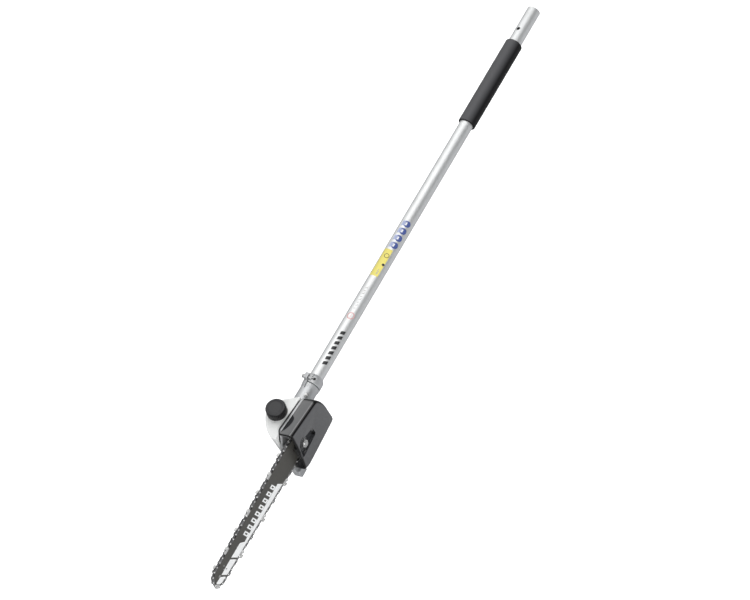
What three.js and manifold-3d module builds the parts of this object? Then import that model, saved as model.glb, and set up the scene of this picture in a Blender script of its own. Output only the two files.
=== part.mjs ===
// Pole saw attachment: an aluminium pole with a gear head, an oil tank, a sprocket cover, a guide bar and a
// saw chain. Millimetres. +X runs along the pole towards its coupling end, +Z is up with the bar's cutting
// edge down, and the sprocket cover faces -Y. The model is laid out from the pole's axis and the collar's
// upper end, and the whole group is then moved so that the origin is the middle of its footprint.
import * as THREE from "three";
import { mergeVertices } from "three/addons/utils/BufferGeometryUtils.js";
import Module from "manifold-3d";

const wasm = await Module();
wasm.setup();

// ---- Driving dimensions ----

const GAP = 0.3; // between pieces that touch, and round pieces that turn
const ROUND = 20; // sides of a small round piece
const LARGE_ROUND = 28; // sides of a large one

// Pole
const POLE_OD = 25.4;
const POLE_WALL = 1.6;
const POLE_REACH = 844; // from the collar's upper end to the coupling end
const POLE_IN_COLLAR = 30;
const LOCK_HOLE_D = 7;
const LOCK_HOLE_INSET = 54;
const SLEEVE_WALL = 3.3;
const SLEEVE_LENGTH = 192;
const SLEEVE_INSET = 81; // from the coupling end to the sleeve
const SLEEVE_EDGE = 2.2;

// Drive line
const SHAFT_D = 8;
const SHAFT_RECESS = 26; // how far the shaft's end fitting lies inside the pole's end
const BUSH_LENGTH = 14;
const BUSH_PLACES = [60, 290, 520, 750];
const BEARING_OD = 22;
const BEARING_WIDTH = 7;
const OUT_SHAFT_D = 10;
const FRONT_BEARING_OD = 26;
const FRONT_BEARING_WIDTH = 8;
const PINION_TEETH = 15;
const BEVEL_TEETH = 20;
const BEVEL_MODULE = 1.3;
const BEVEL_FACE = 5;

// Gear head
const OUT_AXIS = 84; // from the collar's upper end to the sprocket's axis
const COLLAR_WALL = 4.3;
const COLLAR_LENGTH = 18.5;
const NECK_WALL = 3.3;
const CLAMP_SLIT = 1.8;
const CLAMP_SCREW_D = 5;
const CLAMP_X = -10;
const CLAMP_EAR = 9; // from the pole's axis to the far ear's outer face
const INDEX_PLACE = 10; // from the collar's end to the index screw
const INDEX_TURN = 0.62; // radians from the top towards the cover
const PLUG_PLACE = 44;
const PLUG_TURN = 0.75;
const BOX_R = 22.5;
const BOX_WALL = 3.2;
const BOX_BACK_STAND = 0.6; // how far the gear box's open back stands past the neck
const CAP_THICK = 3;
const FLANGE_FACE = 28; // from the pole's axis to the face that the cover seats on
const FLANGE_THICK = 4;
const PAD_FACE = 34.4; // from the pole's axis to the bar pad

// Bar and chain
const BAR_PLANE = 38; // from the pole's axis to the bar's middle
const BAR_THICK = 4;
const BAR_TAIL = 22; // from the sprocket's axis to the bar's tail
const BAR_ROOT = 76; // from the sprocket's axis to the bar's widest place
const BAR_LENGTH = 314;
const BAR_ROOT_R = 20;
const BAR_TAIL_R = 14;
const NOSE_R = 14;
const GROOVE_WIDTH = 1.8;
const GROOVE_DEPTH = 6;
const TANG_THICK = 1.1;
const TANG_DEPTH = 4;
const CHAIN_PITCH = 19.05; // one drive link and one tie strap
const CHAIN_WIDTH = 5.2;
const STRAP_HEIGHT = 5.4;
const CUTTER_WIDTH = 7.2;
const CUTTER_HEIGHT = 8.4;
const CUTTER_LENGTH = 13;
const SPROCKET_TIP_R = 15.6;
const SPROCKET_TEETH = 6;
const SPROCKET_THICK = 5.6;
const NOSE_TEETH = 9;
const STUD_D = 8;
const STUD_PLACE = 44; // from the sprocket's axis to the bar stud
const NUT_WIDTH = 13;
const NUT_HEIGHT = 6.5;
const TENSION_Z = -10.5;
const TENSION_PLACE = 36;
const TENSION_PIN_D = 5;
const TENSION_THREAD_D = 3.6;
const TENSION_TRAVEL = 4;

// Sprocket cover
const COVER_DEPTH = 26;
const COVER_WALL = 2.6;
const COVER_EDGE = 3.4;
const POCKET_DEPTH = 8.3;

// Oil tank and cap
const TANK_WALL = 2.4;
const TANK_TOP = 40.5; // height of the tank's top above the pole's axis, over the axis
const TANK_SLOPE = 13; // degrees that the top falls towards the cover
const TANK_BOTTOM = -19;
const GASKET_THICK = 1.2;
const FILLER_BACK = 20; // from the sprocket's axis towards the bar's tip
const FILLER_BORE_R = 11;
const FILLER_HEIGHT = 4;
const CAP_OD = 36;
const CAP_HEIGHT = 17;
const CAP_RIBS = 28;

// ---- Places that follow from them ----

const outX = -OUT_AXIS;
const poleR = POLE_OD / 2;
const poleBore = poleR - POLE_WALL;
const collarR = poleR + COLLAR_WALL;
const neckR = poleR + NECK_WALL;
const boxBack = neckR + BOX_BACK_STAND;
const coupling = POLE_REACH;
const barY = -BAR_PLANE;
const barFront = barY - BAR_THICK / 2;
const barBack = barY + BAR_THICK / 2;
const flangeFront = -FLANGE_FACE;
const flangeBack = flangeFront + FLANGE_THICK;
const padFront = -PAD_FACE;
const coverBack = flangeFront - GAP;
const coverFront = coverBack - COVER_DEPTH;
const pocketFloor = coverFront + POCKET_DEPTH;
const tankFront = flangeBack + GASKET_THICK + 2 * GAP;
const boxFront = -15;
const bossFront = flangeFront - 3;
const studX = outX - STUD_PLACE;
const tailX = outX - BAR_TAIL;
const rootX = outX - BAR_ROOT;
const noseX = tailX - BAR_LENGTH + NOSE_R;
const noseTipR = NOSE_R - TANG_DEPTH - 0.8;
const tensionX = outX - TENSION_PLACE;
const padEnd = studX - 24;
const clampHeadR = CLAMP_SCREW_D * 0.85;
const clampZ = poleR + CLAMP_SCREW_D / 2 + 1.2;
const slitEnd = -COLLAR_LENGTH - 13;
const slope = THREE.MathUtils.degToRad(TANK_SLOPE);

// ---- Materials ----

const finish = (color, roughness, metalness = 0) =>
  new THREE.MeshStandardMaterial({ color, roughness, metalness });
const poleAluminium = finish(0xd4d6d8, 0.3, 0.9);
const castAluminium = finish(0xc9cbcc, 0.5, 0.8);
const steel = finish(0x9a9c9e, 0.35, 1);
const brightSteel = finish(0xd8d8d6, 0.25, 1);
const foamRubber = finish(0x1c1c1d, 0.9);
const barPaint = finish(0x4b4a44, 0.45, 0.2);
const chainSteel = finish(0x6d6d6c, 0.4, 1);
const blackGloss = finish(0x1b1d1e, 0.15);
const blackPlastic = finish(0x242528, 0.5);
const tankPlastic = finish(0xe9eae6, 0.4);
const sealRubber = finish(0x151515, 0.8);
const nylon = finish(0xd9d3c0, 0.5);
const bronze = finish(0xa9803f, 0.4, 0.9);

// ---- Joining and cutting ----

function solid(geometry) {
  const bare = geometry.index ? geometry.toNonIndexed() : geometry.clone();
  for (const name of Object.keys(bare.attributes)) {
    if (name !== "position") bare.deleteAttribute(name);
  }
  const merged = mergeVertices(bare, 1e-4);
  return new wasm.Manifold(
    new wasm.Mesh({
      numProp: 3,
      vertProperties: new Float32Array(merged.attributes.position.array),
      triVerts: new Uint32Array(merged.index.array),
    })
  );
}

function geometryOf(manifold) {
  const mesh = manifold.getMesh();
  const geometry = new THREE.BufferGeometry();
  geometry.setAttribute("position", new THREE.BufferAttribute(new Float32Array(mesh.vertProperties), 3));
  geometry.setIndex(new THREE.BufferAttribute(new Uint32Array(mesh.triVerts), 1));
  const flat = geometry.toNonIndexed();
  flat.computeVertexNormals();
  return flat;
}

const join = (...geometries) => geometryOf(geometries.map(solid).reduce((a, b) => a.add(b)));
const cut = (body, ...tools) => geometryOf(tools.map(solid).reduce((a, b) => a.subtract(b), solid(body)));

// ---- Basic shapes, each lying along a row axis ----

const box = (x0, x1, y0, y1, z0, z1) =>
  new THREE.BoxGeometry(x1 - x0, y1 - y0, z1 - z0).translate((x0 + x1) / 2, (y0 + y1) / 2, (z0 + z1) / 2);

// A turned piece round the Y axis. The profile lists [radius, y] pairs up one side.
function turnedY(profile, sides = ROUND) {
  const points = profile.map(([r, y]) => new THREE.Vector2(r, y));
  return new THREE.LatheGeometry(points, sides);
}

const turnedX = (profile, sides = ROUND) => turnedY(profile, sides).rotateZ(-Math.PI / 2);
const turnedZ = (profile, sides = ROUND) => turnedY(profile, sides).rotateX(Math.PI / 2);
const rodProfile = (r, a, b) => [[0, a], [r, a], [r, b], [0, b]];
const ringProfile = (ri, ro, a, b) => [[ri, a], [ro, a], [ro, b], [ri, b], [ri, a]];
const rodX = (r, x0, x1, y = 0, z = 0, sides = ROUND) => turnedX(rodProfile(r, x0, x1), sides).translate(0, y, z);
const rodY = (r, y0, y1, x = 0, z = 0, sides = ROUND) => turnedY(rodProfile(r, y0, y1), sides).translate(x, 0, z);
const rodZ = (r, z0, z1, x = 0, y = 0, sides = ROUND) => turnedZ(rodProfile(r, z0, z1), sides).translate(x, y, 0);
const ringX = (ri, ro, x0, x1, sides = ROUND) => turnedX(ringProfile(ri, ro, x0, x1), sides);
const ringY = (ri, ro, y0, y1, x = 0, z = 0, sides = ROUND) =>
  turnedY(ringProfile(ri, ro, y0, y1), sides).translate(x, 0, z);

// A flat outline in X and Z, made thick from y0 (back) to y1 (front, lower y).
function slab(shape, y0, y1, segments = 4) {
  const options = { depth: y0 - y1, bevelEnabled: false, curveSegments: segments };
  return new THREE.ExtrudeGeometry(shape, options).rotateX(Math.PI / 2).translate(0, y0, 0);
}

// The same for a convex outline given by its corners, with its front edge rounded over in steps.
function softSlab(corners, y0, y1, edge) {
  const steps = 4;
  const layers = [[0, y0]];
  for (let i = 0; i <= steps; i += 1) {
    const turn = (i / steps) * (Math.PI / 2);
    layers.push([edge * (1 - Math.cos(turn)), y1 + edge * (1 - Math.sin(turn))]);
  }
  const rings = layers.map(([d]) => roundedShape(inset(corners, d)).getPoints(6).slice(0, -1));
  const count = rings[0].length;
  const positions = rings.flatMap((ring, k) => ring.flatMap((p) => [p.x, layers[k][1], p.y]));
  const faces = [];
  for (let k = 0; k < layers.length - 1; k += 1) {
    for (let i = 0; i < count; i += 1) {
      const a = k * count + i;
      const b = k * count + ((i + 1) % count);
      faces.push(a, b, b + count, a, b + count, a + count);
    }
  }
  const last = layers.length - 1;
  THREE.ShapeUtils.triangulateShape(rings[0], []).forEach(([a, b, c]) => faces.push(a, c, b));
  THREE.ShapeUtils.triangulateShape(rings[last], []).forEach(([a, b, c]) => {
    faces.push(last * count + a, last * count + b, last * count + c);
  });
  const geometry = new THREE.BufferGeometry();
  geometry.setAttribute("position", new THREE.Float32BufferAttribute(positions, 3));
  geometry.setIndex(faces);
  return geometry;
}

// A polygon whose corners [a, b, radius] are rounded.
function roundedShape(corners) {
  const shape = new THREE.Shape();
  corners.forEach(([a, b, radius], i) => {
    const before = corners[(i + corners.length - 1) % corners.length];
    const after = corners[(i + 1) % corners.length];
    const inLength = Math.hypot(before[0] - a, before[1] - b);
    const outLength = Math.hypot(after[0] - a, after[1] - b);
    const start = Math.min(radius, inLength * 0.45) / inLength;
    const end = Math.min(radius, outLength * 0.45) / outLength;
    const from = [a + (before[0] - a) * start, b + (before[1] - b) * start];
    const to = [a + (after[0] - a) * end, b + (after[1] - b) * end];
    if (i === 0) shape.moveTo(...from);
    else shape.lineTo(...from);
    shape.quadraticCurveTo(a, b, ...to);
  });
  shape.closePath();
  return shape;
}

// The corners of a convex outline moved inwards by d. The corners run counter-clockwise.
function inset(corners, d) {
  return corners.map(([a, b, radius], i) => {
    const before = corners[(i + corners.length - 1) % corners.length];
    const after = corners[(i + 1) % corners.length];
    const u = new THREE.Vector2(a - before[0], b - before[1]).normalize();
    const v = new THREE.Vector2(after[0] - a, after[1] - b).normalize();
    const bend = 1 + u.x * v.x + u.y * v.y;
    const nx = (-u.y - v.y) / bend;
    const nz = (u.x + v.x) / bend;
    return [a + nx * d, b + nz * d, Math.max(radius - d, 0.4)];
  });
}

// ---- The saw group ----

const saw = new THREE.Group();

function place(name, geometry, material, parent = saw) {
  const mesh = new THREE.Mesh(geometry, material);
  mesh.name = name;
  parent.add(mesh);
  return mesh;
}

// ---- Pole ----

function makePole() {
  const sides = LARGE_ROUND;
  const tube = ringX(poleBore, poleR, -POLE_IN_COLLAR, coupling, sides);
  const lockHole = rodZ(LOCK_HOLE_D / 2, 0, POLE_OD, coupling - LOCK_HOLE_INSET, 0, 16);
  place("pole_tube", cut(tube, lockHole), poleAluminium);

  const bore = poleR + GAP;
  const outer = bore + SLEEVE_WALL;
  const high = coupling - SLEEVE_INSET;
  const low = high - SLEEVE_LENGTH;
  const e = SLEEVE_EDGE;
  const profile = [
    [bore, low],
    [outer - e, low],
    [outer - e * 0.3, low + e * 0.3],
    [outer, low + e],
    [outer, high - e],
    [outer - e * 0.3, high - e * 0.3],
    [outer - e, high],
    [bore, high],
    [bore, low],
  ];
  place("grip_sleeve", turnedX(profile, LARGE_ROUND), foamRubber);
}

// ---- Drive line inside the pole ----

const pinionPitchR = (BEVEL_MODULE * PINION_TEETH) / 2;
const bevelPitchR = (BEVEL_MODULE * BEVEL_TEETH) / 2;
const rearBearingBack = boxBack - GAP;
const rearBearingFront = rearBearingBack - 4;
const inputSeat = outX + BOX_R - 2;

function makeDriveLine() {
  const shaftEnd = coupling - SHAFT_RECESS;
  const shaftR = SHAFT_D / 2;
  const flats = 5.2;
  const shaftStart = outX + bevelPitchR - BEVEL_FACE + 1;
  const round = rodX(shaftR, shaftStart, shaftEnd, 0, 0, 16);
  place("drive_shaft", round, steel);

  const bushBore = shaftR + GAP;
  const bushOuter = poleBore - GAP;
  BUSH_PLACES.forEach((x, i) => {
    place(`shaft_bush_${i + 1}`, ringX(bushBore, bushOuter, x, x + BUSH_LENGTH, 24), nylon);
  });

  const fitR = 7.5;
  const fitStart = shaftEnd - 24;
  const sleeve = rodX(fitR, fitStart, shaftEnd + 8, 0, 0, 24);
  const socket = box(shaftEnd + GAP, shaftEnd + 9, -flats / 2, flats / 2, -flats / 2, flats / 2);
  const bore = rodX(shaftR + GAP, fitStart - 1, shaftEnd + GAP + 0.2, 0, 0, 16);
  place("shaft_end_fitting", cut(sleeve, bore, socket), brightSteel);

  const seatR = BEARING_OD / 2;
  const first = inputSeat + 2;
  const second = first + BEARING_WIDTH + 5;
  place("input_bearing_1", ringX(bushBore, seatR - GAP, first, first + BEARING_WIDTH), brightSteel);
  place("input_bearing_2", ringX(bushBore, seatR - GAP, second, second + BEARING_WIDTH), brightSteel);
  place("bearing_spacer", ringX(seatR - 2.4, seatR - GAP, first + BEARING_WIDTH + GAP, second - GAP, 24), steel);
  const clipFront = second + BEARING_WIDTH + GAP;
  place("bearing_clip", ringX(seatR - 2, seatR - GAP, clipFront, clipFront + 1.4, 24), steel);
}

// ---- Bevel gears ----

// One straight bevel gear round +Y with its pitch cone's apex at the origin. The teeth taper to the apex.
function bevelGear(teeth, pitchR, mateR, hub) {
  const cone = Math.hypot(pitchR, mateR);
  const small = (cone - BEVEL_FACE) / cone;
  const c = mateR / cone;
  const s = pitchR / cone;
  const add = BEVEL_MODULE * 0.8;
  const ded = BEVEL_MODULE * 1.15;
  const root = [pitchR - ded * c, mateR + ded * s];
  const tip = [pitchR + add * c, mateR - add * s];
  const sunk = [pitchR - (ded + 0.8) * c, mateR + (ded + 0.8) * s];
  const body = turnedY(
    [[0, root[1] * small], [root[0] * small, root[1] * small], root, [hub.r, hub.y], [0, hub.y]],
    teeth
  );
  const half = (Math.PI * BEVEL_MODULE) / 4;
  const rootHalf = half * 1.05;
  const tipHalf = half * 0.4;
  const tooth = [];
  for (const scale of [1, small]) {
    for (const [[r, y], w] of [[sunk, rootHalf], [tip, tipHalf]]) {
      tooth.push([r * scale, y * scale, -w * scale], [r * scale, y * scale, w * scale]);
    }
  }
  const faces = [0, 1, 3, 0, 3, 2, 4, 7, 5, 4, 6, 7, 0, 5, 1, 0, 4, 5, 2, 3, 7, 2, 7, 6, 0, 2, 6, 0, 6, 4, 1, 5, 7, 1, 7, 3];
  const one = new THREE.BufferGeometry();
  one.setAttribute("position", new THREE.Float32BufferAttribute(tooth.flat(), 3));
  one.setIndex(faces);
  const ring = [];
  for (let i = 0; i < teeth; i += 1) ring.push(one.clone().rotateY((2 * Math.PI * i) / teeth));
  const filled = ring.map((g) => (solid(g).volume() < 0 ? flipped(g) : g));
  return join(body, ...filled);
}

function flipped(geometry) {
  const order = geometry.index.array;
  const turned = [];
  for (let i = 0; i < order.length; i += 3) turned.push(order[i], order[i + 2], order[i + 1]);
  const copy = geometry.clone();
  copy.setIndex(turned);
  return copy;
}

function makeBevelGears() {
  const shaftR = SHAFT_D / 2;
  const pinionHub = { r: pinionPitchR - 1, y: bevelPitchR + 3.4 };
  const pinion = bevelGear(PINION_TEETH, pinionPitchR, bevelPitchR, pinionHub)
    .rotateZ(-Math.PI / 2)
    .translate(outX, 0, 0);
  const pinionBore = rodX(shaftR + GAP, outX - 30, outX + 40, 0, 0, 16);
  place("bevel_pinion", cut(pinion, pinionBore), steel);

  const gearHub = { r: bevelPitchR - 2, y: rearBearingFront - GAP };
  const gear = bevelGear(BEVEL_TEETH, bevelPitchR, pinionPitchR, gearHub).translate(outX, 0, 0);
  const gearBore = rodY(OUT_SHAFT_D / 2 + GAP, -30, 40, outX);
  place("bevel_gear", cut(gear, gearBore), steel);
}

// ---- Output shaft, its bearings, sprocket and oil pump ----

const frontBearingBack = -15 - GAP;
const frontBearingFront = frontBearingBack - FRONT_BEARING_WIDTH;
const sealBack = frontBearingFront - 2 * GAP - 0.6;
const sprocketBack = barY + SPROCKET_THICK / 2;
const sprocketFront = barY - SPROCKET_THICK / 2;
const wormR = 6.6;
const wormBack = -5;
const wormFront = -11;
const plungerR = 3.4;
const plungerZ = wormR + plungerR + GAP + 0.1;
const plungerY = (wormBack + wormFront) / 2;

function makeOutputShaft() {
  const r = OUT_SHAFT_D / 2;
  const shaftFront = sprocketFront - 4.6;
  const groove = ringY(r - 0.9, r + 1, sprocketFront - 3.4, sprocketFront - 2, outX);
  place("output_shaft", cut(rodY(r, shaftFront, rearBearingBack, outX), groove), steel);
  const bore = r + GAP;
  place("rear_bearing", ringY(bore, 9.5, rearBearingFront, rearBearingBack, outX), brightSteel);
  const frontR = FRONT_BEARING_OD / 2;
  place("front_bearing", ringY(bore, frontR - GAP, frontBearingFront, frontBearingBack, outX), brightSteel);
  place("output_seal", ringY(bore, frontR - 2 - GAP, bossFront + GAP, sealBack, outX), sealRubber);
  place("pump_worm", ringY(bore, wormR, wormFront, wormBack, outX), steel);
  place("drive_sprocket", sprocket(), steel);
  const washer = ringY(bore, 9, sprocketFront - GAP - 1, sprocketFront - GAP, outX);
  place("sprocket_washer", washer, brightSteel);
  const clipRing = ringY(r - 0.6, r + 2.6, sprocketFront - 3.1, sprocketFront - 2.2, outX);
  const clipGap = box(outX - 20, outX - 1, sprocketFront - 4, sprocketFront - 1.4, -2, 2);
  place("sprocket_clip", cut(clipRing, clipGap), steel);
}

// A star of flat-topped teeth, as seen from the front.
function star(teeth, tipR, valleyR, tipShare) {
  const shape = new THREE.Shape();
  for (let i = 0; i < teeth; i += 1) {
    const mid = (2 * Math.PI * i) / teeth;
    const step = Math.PI / teeth;
    for (const [turn, r] of [[-step, valleyR], [-step * tipShare, tipR], [step * tipShare, tipR]]) {
      const x = Math.cos(mid + turn) * r;
      const z = Math.sin(mid + turn) * r;
      if (i === 0 && turn === -step) shape.moveTo(x, z);
      else shape.lineTo(x, z);
    }
  }
  shape.closePath();
  return shape;
}

function sprocket() {
  const teeth = slab(star(SPROCKET_TEETH, SPROCKET_TIP_R, SPROCKET_TIP_R - 5, 0.45), sprocketBack, sprocketFront);
  const blank = join(teeth.translate(outX, 0, 0), rodY(8.5, sprocketFront, bossFront - 3 * GAP, outX));
  return cut(blank, rodY(OUT_SHAFT_D / 2 + GAP, -80, 20, outX));
}

function makeOilPump() {
  const top = plungerZ + plungerR + 1;
  const front = outX - Math.sqrt((BOX_R - BOX_WALL) ** 2 - top ** 2) + GAP;
  const back = outX + 7;
  place("pump_plunger", rodX(plungerR, front + 1.5, back, plungerY, plungerZ, 16), steel);
  const half = plungerR + 1.4;
  const block = box(front, outX - 6, plungerY - half, plungerY + half, plungerZ - 2, top);
  const bore = rodX(plungerR + GAP, front + 1.2, outX, plungerY, plungerZ, 16);
  place("pump_body", cut(block, bore), bronze);
}

// ---- Gear case ----

// The sprocket cover's outline as corners in X and Z, counter-clockwise seen with +X right and +Z up.
const coverCorners = [
  [outX + 33, -34, 8],
  [outX + 34, 12, 14],
  [outX + 24, 33.5, 9],
  [outX - 60, 42, 3],
  [outX - 65, 0, 30],
  [outX - 75, -37, 5],
  [outX - 61, -41, 10],
];

const flangeEnd = padEnd - 2;
const flangeCorners = [
  coverCorners[0],
  coverCorners[1],
  coverCorners[2],
  [outX - 52, 41, 3],
  [flangeEnd, 15, 8],
  [flangeEnd, -37, 6],
];

function clampCollar() {
  const r = collarR;
  const barrel = turnedX(
    [
      [0, outX + 10],
      [neckR, outX + 10],
      [neckR - 0.5, -COLLAR_LENGTH - 10],
      [r, -COLLAR_LENGTH],
      [r, -7],
      [r - 2.8, -1],
      [r - 3.4, 0],
      [0, 0],
    ],
    LARGE_ROUND
  );
  const far = box(CLAMP_X - 6, CLAMP_X + 6, 0, CLAMP_EAR, poleR, clampZ + 5);
  const near = box(CLAMP_X - 5, CLAMP_X + 5, -CLAMP_EAR + 2, 0, poleR, clampZ + 3.4);
  return join(barrel, far, near);
}

// The fin below the flange, with a thick foot that the head is steadied with against a branch.
function bumperNose() {
  const fin = [
    [outX - 30, -40, 4],
    [outX - 60, -60, 8],
    [outX - 78, -60, 4],
    [outX - 78, -46, 5],
    [flangeEnd, -30, 6],
    [outX - 30, -30, 3],
  ].reverse();
  const foot = [
    [outX - 60, -60, 3],
    [outX - 78, -60, 3],
    [outX - 78, -46, 3],
    [outX - 60, -46, 3],
  ].reverse();
  const back = flangeBack + 3;
  return join(slab(roundedShape(fin), back, flangeFront), slab(roundedShape(foot), back, padFront - 2));
}

function barPad() {
  const corners = [
    [padEnd, -15.5, 4],
    [tailX - 1, -14.5, 3],
    [tailX - 1, 13, 3],
    [padEnd, 13, 6],
  ];
  return slab(roundedShape(corners), flangeBack, padFront, 4);
}

const channelHalf = 3.6;
const tensionBack = -29;
const tensionY = -31.75;
const tensionBoreR = TENSION_THREAD_D / 2 + GAP;

function makeGearCase() {
  const flange = slab(roundedShape(flangeCorners), flangeBack, flangeFront);
  const drum = rodY(BOX_R, flangeBack, boxBack, outX, 0, LARGE_ROUND);
  const rib = box(outX + 12, outX + 30, flangeBack, 0, -2.5, 2.5);
  const frontRib = box(outX - 54, outX, flangeBack, -8, -2.5, 2.5);
  const boss = rodY(16, bossFront, flangeFront + 1, outX, 0, LARGE_ROUND);
  const body = join(flange, drum, clampCollar(), rib, frontRib, boss, bumperNose(), barPad());

  const seat = poleR + GAP;
  const poleSeat = rodX(seat, -POLE_IN_COLLAR - GAP, 10, 0, 0, LARGE_ROUND);
  const inputBore = rodX(BEARING_OD / 2, outX, 0);
  const cavity = rodY(BOX_R - BOX_WALL, boxFront, boxBack + 10, outX, 0, LARGE_ROUND);
  const bearingSeat = rodY(FRONT_BEARING_OD / 2, sealBack + GAP, boxFront + 1, outX);
  const sealSeat = rodY(FRONT_BEARING_OD / 2 - 2, -60, sealBack + 1, outX);
  const slit = box(slitEnd, 5, -CLAMP_SLIT / 2, CLAMP_SLIT / 2, 5, 40);
  const relief = box(-COLLAR_LENGTH - 1.4, -COLLAR_LENGTH, -30, 0, -9, 40);
  const headRoom = rodY(clampHeadR + 2 * GAP, CLAMP_EAR, 40, CLAMP_X, clampZ);
  const clampBore = rodY(CLAMP_SCREW_D / 2 + GAP, -30, 30, CLAMP_X, clampZ, 16);
  const indexBore = rodZ(2.2 + GAP, 8, 30, -INDEX_PLACE, 0, 16).rotateX(INDEX_TURN);
  const channel = box(padEnd + 4, tailX - 4, -60, tensionBack, TENSION_Z - channelHalf, TENSION_Z + channelHalf);
  const screwBore = rodX(tensionBoreR, padEnd - 5, padEnd + 6, tensionY, TENSION_Z, 16);
  const plugBore = rodZ(2.5 + GAP, 10, 40, -PLUG_PLACE, 0, 16).rotateX(PLUG_TURN);
  const tools = [poleSeat, inputBore, cavity, bearingSeat, sealSeat, slit, relief];
  tools.push(headRoom, clampBore, indexBore, studHole(), channel, screwBore, plugBore);
  place("gear_case", cut(body, ...tools), castAluminium);
}

const studHole = () => rodY(STUD_D / 2 + GAP, -60, flangeFront + 1.6, studX);

function makeCaseFittings() {
  const capScrews = 3;
  const capBack = boxBack + GAP;
  const capR = BOX_R - GAP;
  const lid = rodY(capR, capBack, capBack + CAP_THICK, outX, 0, LARGE_ROUND);
  place("gear_case_cap", lid, castAluminium);
  for (let i = 0; i < capScrews; i += 1) {
    const angle = (2 * Math.PI * (i + 0.5)) / capScrews;
    const x = outX + Math.cos(angle) * (capR - 5);
    const z = Math.sin(angle) * (capR - 5);
    const y = capBack + CAP_THICK + GAP;
    place(`cap_screw_${i + 1}`, screwHead(3.4, 2.6).translate(x, y, z), steel);
  }
  const headSeat = CLAMP_EAR + GAP;
  const head = rodY(clampHeadR, headSeat, headSeat + CLAMP_SCREW_D, CLAMP_X, clampZ, 6);
  const shank = rodY(CLAMP_SCREW_D / 2, -CLAMP_EAR + 4.5, headSeat + 0.5, CLAMP_X, clampZ, 16);
  place("clamp_screw", join(head, shank), steel);
  place("index_screw", rodZ(2.2, poleR + 2 * GAP, collarR - 0.6, -INDEX_PLACE, 0, 16).rotateX(INDEX_TURN), steel);
  const plugStem = rodZ(2.5, BEARING_OD / 2 + 1, neckR + 1, -PLUG_PLACE, 0, 16);
  const plugHead = rodZ(4.4, neckR + GAP, neckR + 3, -PLUG_PLACE, 0, 6);
  place("grease_plug", join(plugStem, plugHead).rotateX(PLUG_TURN), steel);
}

// A socket screw's head standing along +Y, its seat at y = 0.
function screwHead(r, height) {
  return cut(rodY(r, 0, height, 0, 0, 16), rodY(r * 0.5, height - 1.4, height + 1, 0, 0, 6));
}

// ---- Oil tank, cap and pick-up ----

const tankCorners = [
  [outX - 68, -12, 6],
  [outX - 68, tankFront, 1.5],
  [outX + 23, tankFront, 1.5],
  [outX + 18, -13, 6],
  [outX + 6, 6, 8],
  [outX - 12, 18, 10],
  [outX - 30, 20, 12],
  [outX - 56, 3, 10],
];

// The tank's plan made solid from its bottom up to the sloping top, both moved in by d.
function tankBlock(d) {
  const plan = roundedShape(d > 0 ? inset(tankCorners, d) : tankCorners);
  const options = { depth: 100, bevelEnabled: false, curveSegments: 6 };
  const column = new THREE.ExtrudeGeometry(plan, options).translate(0, 0, TANK_BOTTOM + d);
  const sky = box(-400, 400, -200, 200, 0, 100).rotateX(slope).translate(0, 0, TANK_TOP - d);
  return cut(column, sky);
}

// What the tank has to clear: the gear box drum and the neck, grown by d.
function tankRelief(d) {
  const drum = rodY(BOX_R + 0.8 + d, -60, 60, outX, 0, LARGE_ROUND);
  const neck = box(outX, 40, -60, 60, -60, neckR + 3 + d);
  const ribs = box(outX - 60, outX, -60, -8 + GAP + d, -2.8 - d, 2.8 + d);
  return [drum, neck, ribs];
}

const fillerSpot = new THREE.Group();
fillerSpot.position.set(outX - FILLER_BACK, 0, TANK_TOP);
fillerSpot.rotation.x = slope;
saw.add(fillerSpot);

function makeTank() {
  fillerSpot.updateMatrixWorld(true);
  const atFiller = (geometry) => geometry.applyMatrix4(fillerSpot.matrixWorld);
  const neck = atFiller(rodZ(FILLER_BORE_R + 2.4, -TANK_WALL, FILLER_HEIGHT));
  const bore = atFiller(rodZ(FILLER_BORE_R, -12, FILLER_HEIGHT + 5));
  const outer = cut(tankBlock(0), ...tankRelief(GAP));
  const hollow = cut(tankBlock(TANK_WALL), ...tankRelief(GAP + TANK_WALL));
  place("oil_tank", cut(join(outer, neck), hollow, bore), tankPlastic);

  const gasketCorners = [
    [outX - 64, tankFrontFoot(), 2],
    [outX - 64, 22, 6],
    [outX - 51, 40.5, 3],
    [outX + 18, 33, 8],
    [outX + 20, 20, 6],
    [outX + 20, tankFrontFoot() + 37, 2],
  ].reverse();
  const strip = slab(roundedShape(gasketCorners), tankFront - GAP, tankFront - GAP - GASKET_THICK);
  const window = rodY(BOX_R + GAP, -60, 60, outX, 0, LARGE_ROUND);
  const ribSlot = box(outX - 62, outX, -60, 60, -2.8, 2.8);
  place("tank_gasket", cut(strip, window, ribSlot), sealRubber);
}

const tankFrontFoot = () => TANK_BOTTOM + 1;

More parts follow.
